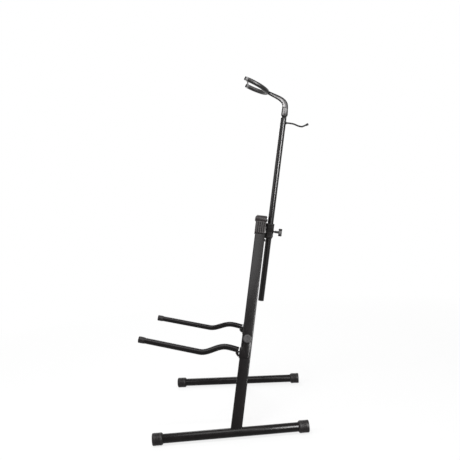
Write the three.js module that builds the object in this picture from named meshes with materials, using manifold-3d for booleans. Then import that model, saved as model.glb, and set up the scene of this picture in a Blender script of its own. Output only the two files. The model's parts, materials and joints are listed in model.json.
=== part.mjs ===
// Folding floor stand. Millimetres, +Z up, the front faces -Y.
// Two legs lean back together and spread sideways from a hinge housing. A neck tube
// stands behind them and carries a gooseneck with a U-shaped yoke. Two bent rest arms
// reach forward from the legs.
import * as THREE from 'three';
import { mergeVertices } from 'three/addons/utils/BufferGeometryUtils.js';
import Module from 'manifold-3d';

const wasm = await Module();
wasm.setup();

const degrees = (value) => THREE.MathUtils.degToRad(value);

// Stance: the lean of the leg plane, the spread of each leg in it, and the hinge bolts
const legLean = degrees(11.4);
const legSpread = degrees(21.6);
const hingeHeight = 655;
const hingeHalfSpacing = 14;
const hingeShift = -1.25;

// Gaps between pieces: seated, and where one piece turns or slides on another
const seatGap = 0.3;
const runGap = 0.4;
const cutOverrun = 4;

// Legs: rectangular tubes with moulded ends
const legDepth = 35;
const legWidth = 20;
const legWall = 1.8;
const legCornerRadius = 3.5;
const legEndVisible = 50;
const legEndDepth = 37.1;
const legEndProud = 1;
const legEndPlug = 34;
const legEndHollow = 24;
const legEndGrooveCount = 4;
const legEndGroovePitch = 6.8;
const legEndGrooveWidth = 2.3;
const legEndGrooveDepth = 1.1;
const legEndPlainBand = 4;

// Hinge housing over the two knuckles
const housingRadius = 13.5;
const housingDepth = 36.8;
const housingWall = 4.5;
const housingRoof = 3.5;
const housingEdgeRound = 1.6;
const hingeBoltDiameter = 8;
const hingeHeadDiameter = 18;
const hingeHeadThickness = 3.4;
const hingeNutAcrossFlats = 12;
const hingeNutThickness = 3;

// Feet
const footTubeDiameter = 28.5;
const footTubeWall = 1.6;
const footFrontReach = 258;
const footRearReach = 227;
const footCapDiameter = 38;
const footCapLength = 33;
const footCapDepth = 27;
const footCapRound = 6;
const footCapLip = 2.5;
const footCapTread = 1.2;
const footCapGrooveShares = [0.38, 0.62];

// Rest arms: bent tubes on brackets that straddle the legs
const armPivotHeight = 287;
const armTubeDiameter = 19;
const armTubeWall = 1.6;
const armReach = 349;
const armRootReach = 23.7;
const armRootDrop = 36.5;
const armCrestReach = 64;
const armCrestDrop = 31.4;
const armTroughReach = 148;
const armTroughDrop = 58.6;
const armRise = degrees(3.9);
const armBendShare = 0.36;
const armCapDiameter = 21.4;
const armCapLength = 16;
const armCapCollarLength = 5;
const armCapCollarDiameter = 20.4;
const armCapRound = 3;
const armCapWall = 3;

const bracketSheet = 2.5;
const bracketRear = 13;
const bracketTop = 17;
const bracketBottom = 61;
const bracketCorner = 5;
const bracketLobeRadius = 12;
const seatWidth = 15;
const seatReach = 11.5;
const seatTop = 40;
const seatNose = 8.5;
const seatSlot = 1.4;
const armBoltDiameter = 8;
const armBoltHeadDiameter = 15;
const armBoltHeadThickness = 2.2;

const armKnobDiameter = 27;
const armKnobThickness = 9;
const armKnobRound = 2.2;
const armKnobBoreDepth = 6;
const armKnobRingRadius = 6.6;
const armKnobRingWidth = 1.1;
const armKnobRingDepth = 0.9;

// Neck tube and its holder behind the hinge housing
const neckTubeDiameter = 20;
const neckTubeWall = 1.6;
const neckTubeOffset = 31.8;
const neckTubeBottom = 374;
const neckTubeTop = 1008;
const neckPlugLength = 18;
const neckPlugFlange = 2.5;
const neckPlugRound = 0.9;

const holderHeight = 52;
const holderTopDrop = 11;
const holderWidth = 28;
const holderDepth = 27.4;
const holderCorner = 6;
const holderCollarHeight = 7;
const holderCollarRise = 0.6;
const holderWaist = 1.2;
const holderBoreGap = 0.3;

const ribThickness = 5;
const ribFront = 6;
const ribTailDrop = 16;
const ribTailHeight = 12;
const ribTailGap = 0.5;
const ribLowRootRise = 7;
const ribLowRootHeight = 9;
const ribHighRootHeight = 11;
const ribWindowFront = 10;
const ribHeadHalfWidth = 4;
const ribHeadHeight = 7;
const hubBoltDiameter = 4;
const hubBoltHeadDiameter = 8;
const hubBoltHeadThickness = 2.2;

const clampScrewRise = 25;
const clampScrewDiameter = 6;
const clampScrewExposed = 4.5;
const clampFerruleDiameter = 7.6;
const clampFerruleLength = 13;
const clampBarLength = 26;
const clampBarThickness = 12;
const clampBarWidth = 10;
const clampBarRound = 2.6;
const clampEndLength = 6.5;
const clampEndRound = 1.6;

// Top of the neck tube: a tongue that carries the folding gooseneck
const foldPinHeight = 1024.5;
const foldPinOffset = 1.3;
const tongueThickness = 9;
const tongueWidth = 16.6;
const tongueRadius = 16;
const tonguePlugLength = 26;
const tongueCollar = 2.5;
const foldPinDiameter = 5;
const foldPinHeadDiameter = 8.6;
const foldPinHeadThickness = 1.5;

const forkCheek = 4.4;
const forkRadius = 11.3;
const forkShoulder = 25;
const gooseneckThickness = 12;
const gooseneckDepthLow = 19.9;
const gooseneckDepthHigh = 10.3;
const gooseneckBendStart = 23.5;
const gooseneckLead = 0.9;
const gooseneckReach = 64.9;
const gooseneckRise = 67.2;
const gooseneckTilt = degrees(21);
const gooseneckLowHandle = 26;
const gooseneckHighHandle = 38;
const gooseneckRim = 3.6;
const gooseneckPocket = 3.2;

// Yoke: a U of rod in a rubber sleeve, with a strap across its tips
const yokeTilt = degrees(18.5);
const yokeHalfWidth = 64;
const yokeCorner = 63;
const yokeLength = 84;
const yokeRodDiameter = 8;
const yokeSleeveDiameter = 15;
const yokeSleeveEnd = 71;
const yokeSleeveBoreGap = 0.3;
const strapRingDiameter = 15;
const strapRingLength = 6;
const strapBandThickness = 3.2;
const strapBandWidth = 5.4;
const tipButtonDiameter = 13;
const tipButtonLength = 5.2;
const tipButtonRound = 1.8;
const cornerHandleShare = 0.5523;

// Hook behind the neck tube
const hookHeight = 995;
const hookRodDiameter = 5.6;
const hookReach = 83.5;
const hookTipDiameter = 8;
const hookTipLength = 9;
const hookBushDiameter = 9.6;
const hookBushLength = 2.2;
const hookRootDepth = 3;
const hookPathShares = [
  [0.19, 0.01], [0.43, 0], [0.63, -0.055], [0.77, -0.07], [0.84, -0.048], [1, 0.045],
];

// Facets
const tubeSides = 20;
const rodSides = 12;
const smallSides = 8;
const bendSides = 12;
const boreSides = 8;
const armSteps = 24;
const yokeSteps = 30;
const hookSteps = 14;
const arcSteps = 6;

// Derived sizes
const legLength = hingeHeight / Math.cos(legSpread);
const footPitch = Math.atan(Math.tan(legLean) / Math.cos(legSpread));
const footHeight = footCapDiameter / 2;
const knuckleRadius = housingRadius - housingRoof - runGap;
const knuckleDepth = housingDepth - 2 * housingWall - 2 * seatGap;
const bracketFront = legDepth / 2 + runGap + bracketSheet;
const bracketHalfWidth = legWidth / 2 + runGap + bracketSheet;
const forkHalfWidth = tongueThickness / 2 + seatGap + forkCheek;
const holderTop = hingeHeight - holderTopDrop;
const holderBottom = holderTop - holderHeight;
const ribTailBottom = holderBottom - ribTailDrop;
const ribTailTop = ribTailBottom + ribTailHeight;
const ribTailReach = neckTubeOffset - neckTubeDiameter / 2 - ribTailGap;
const ribLowRootBottom = holderBottom + ribLowRootRise;
const ribLowRootTop = ribLowRootBottom + ribLowRootHeight;
const ribHighRootBottom = holderTop - ribHighRootHeight;
const clampScrewHeight = holderBottom + clampScrewRise;
const ribHeadTop = hingeHeight + housingRadius - housingRoof - seatGap;
const neckBore = neckTubeDiameter - 2 * neckTubeWall;
const hookRoot = neckTubeDiameter / 2 - neckTubeWall - hookRootDepth;
const clampBarFront = holderDepth / 2 + clampScrewExposed + clampFerruleLength;

const right = new THREE.Vector3(1, 0, 0);
const rear = new THREE.Vector3(0, 1, 0);
const up = new THREE.Vector3(0, 0, 1);
const front = rear.clone().negate();
const left = right.clone().negate();

// Geometry helpers

function signedVolume(position, index) {
  const a = new THREE.Vector3();
  const b = new THREE.Vector3();
  const c = new THREE.Vector3();
  let sum = 0;
  for (let i = 0; i < index.length; i += 3) {
    a.fromBufferAttribute(position, index[i]);
    b.fromBufferAttribute(position, index[i + 1]);
    c.fromBufferAttribute(position, index[i + 2]);
    sum += a.dot(b.cross(c));
  }
  return sum;
}

function solid(geometry) {
  const bare = geometry.clone();
  bare.deleteAttribute('normal');
  bare.deleteAttribute('uv');
  const merged = mergeVertices(bare);
  const kept = [];
  const source = merged.index.array;
  for (let i = 0; i < source.length; i += 3) {
    const [a, b, c] = [source[i], source[i + 1], source[i + 2]];
    if (a !== b && b !== c && c !== a) kept.push(a, b, c);
  }
  if (signedVolume(merged.attributes.position, kept) < 0) kept.reverse();
  const vertProperties = new Float32Array(merged.attributes.position.array);
  const triVerts = new Uint32Array(kept);
  return new wasm.Manifold(new wasm.Mesh({ numProp: 3, vertProperties, triVerts }));
}

function joined(...parts) {
  return parts.map((part) => (part.isBufferGeometry ? solid(part) : part)).reduce((a, b) => a.add(b));
}

function cut(body, ...tools) {
  const start = body.isBufferGeometry ? solid(body) : body;
  return tools.reduce((rest, tool) => rest.subtract(tool.isBufferGeometry ? solid(tool) : tool), start);
}

function surface(body) {
  const mesh = (body.isBufferGeometry ? solid(body) : body).getMesh();
  const geometry = new THREE.BufferGeometry();
  geometry.setAttribute('position', new THREE.BufferAttribute(new Float32Array(mesh.vertProperties), 3));
  geometry.setIndex(new THREE.BufferAttribute(new Uint32Array(mesh.triVerts), 1));
  const flat = geometry.toNonIndexed();
  flat.computeVertexNormals();
  return flat;
}

function mirrored(geometry) {
  const copy = geometry.clone().scale(-1, 1, 1);
  const position = copy.attributes.position;
  const a = new THREE.Vector3();
  const b = new THREE.Vector3();
  for (let i = 0; i < position.count; i += 3) {
    a.fromBufferAttribute(position, i);
    b.fromBufferAttribute(position, i + 1);
    position.setXYZ(i, b.x, b.y, b.z);
    position.setXYZ(i + 1, a.x, a.y, a.z);
  }
  copy.computeVertexNormals();
  return copy;
}

// A profile of [radius, along] pairs turned about the given axis
function turned(profile, axis, sides = tubeSides) {
  const points = profile.map(([radius, along]) => new THREE.Vector2(radius, along));
  if (points[0].x > 0) points.push(points[0].clone());
  const geometry = new THREE.LatheGeometry(points, sides);
  return geometry.applyQuaternion(new THREE.Quaternion().setFromUnitVectors(rear, axis));
}

function rod(diameter, from, to, axis, sides = rodSides) {
  const radius = diameter / 2;
  return turned([[0, from], [radius, from], [radius, to], [0, to]], axis, sides);
}

function pipe(outer, inner, from, to, axis, sides = tubeSides) {
  const [a, b] = [outer / 2, inner / 2];
  return turned([[b, from], [a, from], [a, to], [b, to]], axis, sides);
}

function quarter(centreRadius, centreAlong, size, startTurn, steps = arcSteps / 2) {
  const points = [];
  for (let i = 0; i <= steps; i += 1) {
    const angle = startTurn + (i / steps) * (Math.PI / 2);
    points.push([centreRadius + size * Math.cos(angle), centreAlong + size * Math.sin(angle)]);
  }
  return points;
}

function block(width, depth, height) {
  return new THREE.BoxGeometry(width, depth, height);
}

function roundedShape(width, height, radius) {
  const [x, y] = [width / 2, height / 2];
  const shape = new THREE.Shape();
  shape.moveTo(x, y - radius);
  shape.absarc(x - radius, y - radius, radius, 0, Math.PI / 2);
  shape.absarc(radius - x, y - radius, radius, Math.PI / 2, Math.PI);
  shape.absarc(radius - x, radius - y, radius, Math.PI, 1.5 * Math.PI);
  shape.absarc(x - radius, radius - y, radius, 1.5 * Math.PI, 2 * Math.PI);
  return shape;
}

function outline(points) {
  return new THREE.Shape(points.map(([a, b]) => new THREE.Vector2(a, b)));
}

// Extrusions about the middle of their thickness, in three directions
function extruded(shape, thickness, curveSegments = arcSteps, edge = 0) {
  const options = { depth: thickness - 2 * edge, bevelEnabled: edge > 0, curveSegments };
  Object.assign(options, { bevelThickness: edge, bevelSize: edge, bevelOffset: -edge, bevelSegments: 1 });
  return new THREE.ExtrudeGeometry(shape, options).translate(0, 0, edge - thickness / 2);
}

function bar(shape, from, to, curveSegments = 3) {
  return extruded(shape, to - from, curveSegments).translate(0, 0, (from + to) / 2);
}

// Shape x runs forward, shape y up, thickness sideways
function sidePlate(shape, thickness, curveSegments = arcSteps, edge = 0) {
  const basis = new THREE.Matrix4().makeBasis(front, up, left);
  return extruded(shape, thickness, curveSegments, edge).applyMatrix4(basis);
}

// Shape x runs right, shape y up, thickness rearward
function facePlate(shape, thickness, curveSegments = arcSteps, edge = 0) {
  const basis = new THREE.Matrix4().makeBasis(right, up, front);
  return extruded(shape, thickness, curveSegments, edge).applyMatrix4(basis);
}

function circleShape(radius, sides) {
  const shape = new THREE.Shape();
  for (let i = 0; i < sides; i += 1) {
    const angle = (i / sides) * 2 * Math.PI;
    const [x, y] = [radius * Math.cos(angle), radius * Math.sin(angle)];
    if (i === 0) shape.moveTo(x, y);
    else shape.lineTo(x, y);
  }
  shape.closePath();
  return shape;
}

function swept(curve, diameter, steps, sides, boreDiameter = 0) {
  const shape = circleShape(diameter / 2, sides);
  if (boreDiameter > 0) shape.holes.push(circleShape(boreDiameter / 2, boreSides));
  return new THREE.ExtrudeGeometry(shape, { steps, extrudePath: curve, curveSegments: 1 });
}

function at(geometry, x, y, z) {
  return geometry.translate(x, y, z);
}

// Materials
const finish = (color, roughness, metalness) =>
  new THREE.MeshStandardMaterial({ color, roughness, metalness });
const paint = () => finish(0x2b2827, 0.42, 0.3);
const blackTube = () => finish(0x1d1b1b, 0.22, 0.6);
const darkPlastic = () => finish(0x4a4849, 0.55, 0);
const blackCasting = () => finish(0x242222, 0.5, 0.1);
const rubber = () => finish(0x2a2829, 0.8, 0);
const paleKnob = () => finish(0x9a9898, 0.45, 0);
const paleRubber = () => finish(0xb0adad, 0.6, 0);
const castSilver = () => finish(0x9b9a9b, 0.4, 0.6);
const zinc = () => finish(0xb8b8ba, 0.35, 0.9);
const darkSteel = () => finish(0x3c3b3d, 0.4, 0.8);

function place(parent, name, body, material, flip = false) {
  const geometry = surface(body);
  const mesh = new THREE.Mesh(flip ? mirrored(geometry) : geometry, material);
  mesh.name = name;
  parent.add(mesh);
  return mesh;
}

// Leg pieces, in a frame whose origin is on the hinge bolt and whose z runs up the leg

function footSaddle(gap) {
  const length = legDepth + 2 * cutOverrun;
  const tool = rod(footTubeDiameter + 2 * gap, -length, length, rear, tubeSides);
  return at(tool.rotateX(footPitch), 0, 0, -legLength);
}

function armBoltHole(gap) {
  const reach = bracketHalfWidth + cutOverrun;
  return at(rod(armBoltDiameter + 2 * gap, -reach, reach, right), 0, 0, armPivotHeight - legLength);
}

function legTube() {
  const shape = roundedShape(legWidth, legDepth, legCornerRadius);
  const innerRadius = legCornerRadius - legWall;
  shape.holes.push(roundedShape(legWidth - 2 * legWall, legDepth - 2 * legWall, innerRadius));
  const tube = bar(shape, -legLength, -legEndVisible);
  return cut(tube, footSaddle(seatGap), armBoltHole(seatGap));
}

// The moulded end: a plug in the tube, a grooved body that stands proud of the tube in
// front and outside, and a knuckle round the bolt
function legEnd() {
  const bodyBottom = seatGap - legEndVisible;
  const bodyTop = cutOverrun - housingRadius;
  const bodyShape = roundedShape(legWidth + legEndProud, legEndDepth, legCornerRadius);
  const body = at(bar(bodyShape, bodyBottom, bodyTop), legEndProud / 2, hingeShift, 0);
  const plugEnd = -legEndVisible - legEndPlug;
  const plugWidth = legWidth - 2 * legWall - 2 * seatGap;
  const plugDepth = legDepth - 2 * legWall - 2 * seatGap;
  const plugShape = roundedShape(plugWidth, plugDepth, legCornerRadius - legWall);
  const plug = bar(plugShape, plugEnd, bodyBottom + cutOverrun);
  const hollowShape = block(plugWidth - 2 * legWall, plugDepth - 2 * legWall, 2 * legEndHollow);
  const hollow = at(hollowShape, 0, 0, plugEnd);
  const clearance = housingRadius + runGap;
  const lobe = rod(2 * clearance / Math.cos(Math.PI / tubeSides), -legDepth, legDepth, rear, tubeSides);
  const inside = at(block(legWidth, 2 * legDepth, 2 * clearance), -legWidth / 2, 0, 0);
  const shoulders = cut(body, lobe, inside);
  const neckLength = housingRadius + cutOverrun;
  const neck = at(block(2 * knuckleRadius, knuckleDepth, neckLength), 0, hingeShift, -neckLength / 2);
  const eye = rod(2 * knuckleRadius, -knuckleDepth / 2, knuckleDepth / 2, rear, tubeSides);
  const knuckle = at(eye, 0, hingeShift, 0);
  const bore = rod(hingeBoltDiameter + 2 * seatGap, -legDepth, legDepth, rear);
  const grooves = [];
  const grooveBottom = bodyBottom + legEndPlainBand;
  const grooveTop = bodyTop - legEndPlainBand;
  for (let i = 0; i < legEndGrooveCount; i += 1) {
    const y = (i - (legEndGrooveCount - 1) / 2) * legEndGroovePitch;
    const groove = block(2 * legEndGrooveDepth, legEndGrooveWidth, grooveTop - grooveBottom);
    grooves.push(at(groove, legWidth / 2 + legEndProud, y, (grooveTop + grooveBottom) / 2));
  }
  return cut(joined(shoulders, plug, neck, knuckle), hollow, bore, ...grooves);
}

function footTube() {
  const end = footCapLength - footCapDepth;
  const inner = footTubeDiameter - 2 * footTubeWall;
  return pipe(footTubeDiameter, inner, end + seatGap - footFrontReach, footRearReach - end - seatGap, rear);
}

// A moulded rubber cap with two grooves round its tread. Its closed end is at zero.
function footCap(axis) {
  const radius = footCapDiameter / 2;
  const bore = footTubeDiameter / 2 + seatGap;
  const lip = footCapLength - footCapLip;
  const end = footCapLength - footCapDepth;
  const outer = [[0, 0], ...quarter(radius - footCapRound, footCapRound, footCapRound, -Math.PI / 2)];
  for (const share of footCapGrooveShares) {
    const along = footCapLength * share;
    outer.push([radius, along - footCapTread], [radius - footCapTread / 2, along]);
    outer.push([radius, along + footCapTread]);
  }
  outer.push([radius, lip - footCapLip], [radius - footCapLip / 2, footCapLength], [bore, footCapLength]);
  outer.push([bore, end], [0, end]);
  return turned(outer, axis, tubeSides);
}

// Arm pieces, in a frame whose origin is on the arm bolt: reach forward, drop down

function armPath() {
  const point = (reach, drop) => new THREE.Vector3(0, -reach, -drop);
  const slope = Math.tan(armRise);
  const bend = (armTroughReach - armCrestReach) * armBendShare;
  const root = (armCrestReach - armRootReach) * armBendShare;
  const tip = armReach - armCapWall - seatGap;
  const crest = point(armCrestReach, armCrestDrop);
  const trough = point(armTroughReach, armTroughDrop);
  const path = new THREE.CurvePath();
  const rootStart = point(armRootReach, armRootDrop);
  const rootPull = point(armCrestReach - root, armCrestDrop);
  path.add(new THREE.QuadraticBezierCurve3(rootStart, rootPull, crest));
  const down = point(armCrestReach + bend, armCrestDrop);
  const level = point(armTroughReach - bend, armTroughDrop + bend * slope);
  path.add(new THREE.CubicBezierCurve3(crest, down, level, trough));
  path.add(new THREE.LineCurve3(trough, point(tip, armTroughDrop - (tip - armTroughReach) * slope)));
  return path;
}

function armTube() {
  return swept(armPath(), armTubeDiameter, armSteps, bendSides, armTubeDiameter - 2 * armTubeWall);
}

// Closed end at zero, a collar round the tube behind it
function armCap() {
  const radius = armCapDiameter / 2;
  const collar = armCapCollarDiameter / 2;
  const bore = armTubeDiameter / 2 + seatGap;
  const back = armCapLength + armCapCollarLength;
  const profile = [[0, 0], ...quarter(radius - armCapRound, armCapRound, armCapRound, -Math.PI / 2)];
  profile.push([radius, armCapLength], [collar, armCapLength], [collar, back], [bore, back]);
  profile.push([bore, armCapWall], [0, armCapWall]);
  return turned(profile, rear, tubeSides);
}

// A folded sheet round the front and sides of the leg, a lobe round the bolt on each
// side, and a seat in front that the arm tube is welded to
function armBracket() {
  const shape = new THREE.Shape();
  const corner = bracketCorner;
  const lobeStart = degrees(-40);
  const lobeEnd = degrees(200);
  shape.moveTo(-bracketRear, -bracketBottom);
  shape.lineTo(bracketFront, -bracketBottom);
  shape.lineTo(bracketFront, -bracketTop - corner);
  shape.absarc(bracketFront - corner, -bracketTop - corner, corner, 0, Math.PI / 2, false);
  shape.lineTo(bracketLobeRadius * Math.cos(lobeStart), bracketLobeRadius * Math.sin(lobeStart));
  shape.absarc(0, 0, bracketLobeRadius, lobeStart, lobeEnd, false);
  shape.lineTo(-bracketRear, -bracketTop);
  shape.closePath();
  const folded = sidePlate(shape, 2 * bracketHalfWidth);
  const channelDepth = 2 * legDepth;
  const channelFront = bracketFront - bracketSheet;
  const channelHeight = 2 * (bracketBottom + bracketLobeRadius + cutOverrun);
  const channel = block(2 * (bracketHalfWidth - bracketSheet), channelDepth, channelHeight);
  at(channel, 0, channelDepth / 2 - channelFront, 0);
  const seatBack = bracketFront - bracketSheet / 2;
  const nose = bracketFront + seatReach;
  const seatShape = outline([
    [seatBack, -bracketBottom + seatNose / 2],
    [bracketFront + seatNose / 2, -bracketBottom + seatNose / 2],
    [nose, -bracketBottom + seatNose + seatNose / 2],
    [nose, -seatTop],
    [seatBack, -seatTop],
  ]);
  const seat = sidePlate(seatShape, seatWidth);
  const slot = block(seatWidth + cutOverrun, seatSlot, bracketBottom - seatTop - seatNose);
  at(slot, 0, -bracketFront - seatSlot, -(bracketBottom + seatTop) / 2 + seatNose / 2);
  const tubeBed = swept(armPath(), armTubeDiameter + 2 * seatGap, armSteps, bendSides);
  const hole = at(armBoltHole(seatGap), 0, 0, legLength - armPivotHeight);
  return cut(joined(cut(folded, channel), cut(seat, slot)), tubeBed, hole);
}

// Low head on the inner side, shank through bracket and leg into the knob
function armBolt() {
  const inner = -bracketHalfWidth - seatGap;
  const outer = bracketHalfWidth + seatGap + armKnobBoreDepth;
  const head = rod(armBoltHeadDiameter, inner - armBoltHeadThickness, inner, right, tubeSides);
  return joined(head, rod(armBoltDiameter, inner - armBoltHeadThickness / 2, outer, right));
}

function armKnob() {
  const base = bracketHalfWidth + seatGap;
  const radius = armKnobDiameter / 2;
  const top = base + armKnobThickness;
  const bore = armBoltDiameter / 2 + seatGap;
  const floor = base + armKnobBoreDepth + seatGap;
  const ringOuter = armKnobRingRadius;
  const ringInner = armKnobRingRadius - armKnobRingWidth;
  const ringFloor = top - armKnobRingDepth;
  const profile = [[0, floor], [bore, floor], [bore, base], [radius - armKnobRound / 2, base]];
  profile.push([radius, base + armKnobRound / 2]);
  profile.push(...quarter(radius - armKnobRound, top - armKnobRound, armKnobRound, 0));
  profile.push([ringOuter, top], [ringOuter, ringFloor], [ringInner, ringFloor], [ringInner, top]);
  profile.push([0, top]);
  return turned(profile, right, tubeSides);
}

// Hinge housing, in a frame with the leg plane's directions, in the middle of the bolts

function stadium(halfLength, radius) {
  const shape = new THREE.Shape();
  shape.absarc(halfLength, 0, radius, -Math.PI / 2, Math.PI / 2, false);
  shape.absarc(-halfLength, 0, radius, Math.PI / 2, 1.5 * Math.PI, false);
  shape.closePath();
  return shape;
}

// Room for both knuckles: closed above, open below, with a stop face for each open leg
function housingRoom() {
  const radius = housingRadius - housingRoof;
  const depth = 2 * housingRadius;
  const reach = hingeHalfSpacing + radius * Math.cos(legSpread);
  const height = radius * Math.sin(legSpread);
  const wider = (depth + height) * Math.tan(legSpread);
  const shape = new THREE.Shape();
  shape.moveTo(-reach - wider, -depth);
  shape.lineTo(reach + wider, -depth);
  shape.lineTo(reach, height);
  shape.absarc(hingeHalfSpacing, 0, radius, legSpread, Math.PI / 2, false);
  shape.absarc(-hingeHalfSpacing, 0, radius, Math.PI / 2, Math.PI - legSpread, false);
  shape.closePath();
  return facePlate(shape, housingDepth - 2 * housingWall);
}

function hingeHousing() {
  const lobes = stadium(hingeHalfSpacing, housingRadius);
  const body = facePlate(lobes, housingDepth, arcSteps, housingEdgeRound);
  const holes = [];
  for (const side of [-1, 1]) {
    const hole = rod(hingeBoltDiameter + 2 * seatGap, -housingDepth, housingDepth, rear);
    holes.push(at(hole, side * hingeHalfSpacing, 0, 0));
  }
  const screwHole = rod(hubBoltDiameter + 2 * seatGap, -housingDepth, housingDepth, rear);
  holes.push(at(screwHole, 0, 0, ribHeadTop - hingeHeight - ribHeadHeight / 2));
  return cut(body, housingRoom(), ...holes);
}

// Round head in front, hexagon nut behind
function hingeBolt() {
  const face = housingDepth / 2 + seatGap;
  const edge = hingeHeadThickness / 2;
  const radius = hingeHeadDiameter / 2;
  const shank = hingeBoltDiameter / 2;
  const end = face + hingeNutThickness / 2;
  const profile = [[0, -face - hingeHeadThickness], [radius - edge, -face - hingeHeadThickness]];
  profile.push([radius, -face - edge], [radius, -face], [shank, -face], [shank, end], [0, end]);
  return turned(profile, rear, tubeSides);
}

function hingeNut() {
  const start = housingDepth / 2 + seatGap;
  const corners = hingeNutAcrossFlats / Math.cos(Math.PI / 6);
  const nut = rod(corners, start, start + hingeNutThickness, rear, 6);
  return cut(nut, rod(hingeBoltDiameter + 2 * seatGap, 0, housingDepth, rear));
}

// Neck tube holder, in the leg plane's frame with its origin on the foot tube axis

function ribOutline() {
  const rearFace = legDepth / 2;
  const window = -ribWindowFront;
  const root = -rearFace - cutOverrun - seatGap;
  const headBottom = hingeHeight - housingRadius - seatGap;
  return outline([
    [ribFront, ribTailBottom],
    [ribFront, ribHeadTop],
    [window / 2, ribHeadTop],
    [window, headBottom],
    [root, headBottom],
    [root, ribHighRootBottom],
    [window, ribHighRootBottom - cutOverrun],
    [window, ribLowRootTop + cutOverrun],
    [root, ribLowRootTop],
    [root, ribLowRootBottom],
    [window - cutOverrun, ribLowRootBottom],
    [window - cutOverrun, ribTailTop],
    [-ribTailReach, ribTailTop],
    [-ribTailReach, ribTailBottom + cutOverrun],
    [window, ribTailBottom],
  ]);
}

function neckHolder() {
  const height = holderTop - holderBottom;
  const shape = roundedShape(holderWidth, holderDepth, holderCorner);
  const waistShape = roundedShape(holderWidth - holderWaist, holderDepth - holderWaist, holderCorner);
  const collarWidth = holderWidth + holderCollarRise;
  const collarShape = roundedShape(collarWidth, holderDepth + holderCollarRise, holderCorner);
  const upper = bar(shape, holderBottom + height / 2, holderTop - holderCollarHeight / 2);
  const waist = bar(waistShape, holderBottom, holderBottom + height / 2 + seatGap);
  const collar = bar(collarShape, holderTop - holderCollarHeight, holderTop);
  const foot = bar(shape, holderBottom + holderCollarHeight / 2, holderBottom + holderCollarHeight * 2);
  const sleeve = at(joined(upper, waist, collar, foot), 0, neckTubeOffset, 0);
  const rib = sidePlate(ribOutline(), ribThickness);
  const headMiddle = ribHeadTop - ribHeadHeight / 2;
  const headBlock = block(2 * ribHeadHalfWidth, knuckleDepth, ribHeadHeight);
  const head = at(headBlock, 0, hingeShift, headMiddle);
  const boreEnds = [holderBottom - cutOverrun, holderTop + cutOverrun];
  const bore = rod(neckTubeDiameter + 2 * holderBoreGap, ...boreEnds, up, tubeSides);
  const screw = rod(clampScrewDiameter + 2 * seatGap, 0, holderDepth, rear);
  const hubBore = rod(hubBoltDiameter + 2 * seatGap, -housingDepth, housingDepth, rear);
  const tools = [at(bore, 0, neckTubeOffset, 0), at(screw, 0, neckTubeOffset, clampScrewHeight)];
  tools.push(at(hubBore, 0, 0, headMiddle));
  return cut(joined(sleeve, rib, head), ...tools);
}

// Through bolt that ties the rib's head to the housing, its head behind and a nut in front
function hubBolt() {
  const face = housingDepth / 2 + seatGap;
  const middle = ribHeadTop - ribHeadHeight / 2;
  const head = rod(hubBoltHeadDiameter, face, face + hubBoltHeadThickness, rear, tubeSides);
  const nut = rod(hubBoltHeadDiameter, -face - hubBoltHeadThickness, -face, rear, 6);
  return at(joined(head, nut, rod(hubBoltDiameter, -face, face, rear)), 0, hingeShift, middle);
}

// Clamp screw and T-bar, in a frame on the neck tube's axis at the screw's height

function clampScrew() {
  const tip = neckTubeDiameter / 2 + seatGap;
  const ferrule = holderDepth / 2 + clampScrewExposed;
  const stud = rod(clampScrewDiameter, tip, ferrule + clampFerruleLength / 2, rear);
  const ferruleEnd = ferrule + clampFerruleLength - seatGap;
  return joined(stud, rod(clampFerruleDiameter, ferrule, ferruleEnd, rear, tubeSides));
}

function clampBarShape() {
  return roundedShape(clampBarWidth, clampBarThickness, clampBarRound);
}

function clampBar() {
  const middle = clampBarFront + clampBarThickness / 2;
  const half = clampBarLength / 2 - clampEndLength;
  return at(bar(clampBarShape(), -half, half), 0, middle, 0);
}

function clampBarEnd() {
  const middle = clampBarFront + clampBarThickness / 2;
  const start = clampBarLength / 2 - clampEndLength + seatGap;
  const length = clampEndLength - seatGap;
  const whole = at(extruded(clampBarShape(), 2 * length, 3, clampEndRound), 0, 0, start);
  const inside = block(2 * clampBarWidth, 2 * clampBarThickness, 2 * start);
  return at(cut(whole, inside), 0, middle, 0);
}

// Neck tube, in a frame on its own axis

function neckTube() {
  const tube = pipe(neckTubeDiameter, neckBore, neckTubeBottom, neckTubeTop, up);
  const hole = rod(hookRodDiameter + 2 * seatGap, 0, neckTubeDiameter, rear);
  return cut(tube, at(hole, 0, 0, hookHeight));
}

function neckPlug() {
  const radius = neckTubeDiameter / 2;
  const bore = neckBore / 2 - seatGap;
  const bottom = neckTubeBottom - neckPlugFlange;
  const profile = [[0, bottom], [radius - neckPlugRound, bottom], [radius, bottom + neckPlugRound]];
  profile.push([radius, neckTubeBottom - seatGap], [bore, neckTubeBottom - seatGap]);
  const top = neckTubeBottom + neckPlugLength;
  profile.push([bore, top], [bore - neckTubeWall, top]);
  profile.push([bore - neckTubeWall, neckTubeBottom], [0, neckTubeBottom]);
  return turned(profile, up, tubeSides);
}

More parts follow.
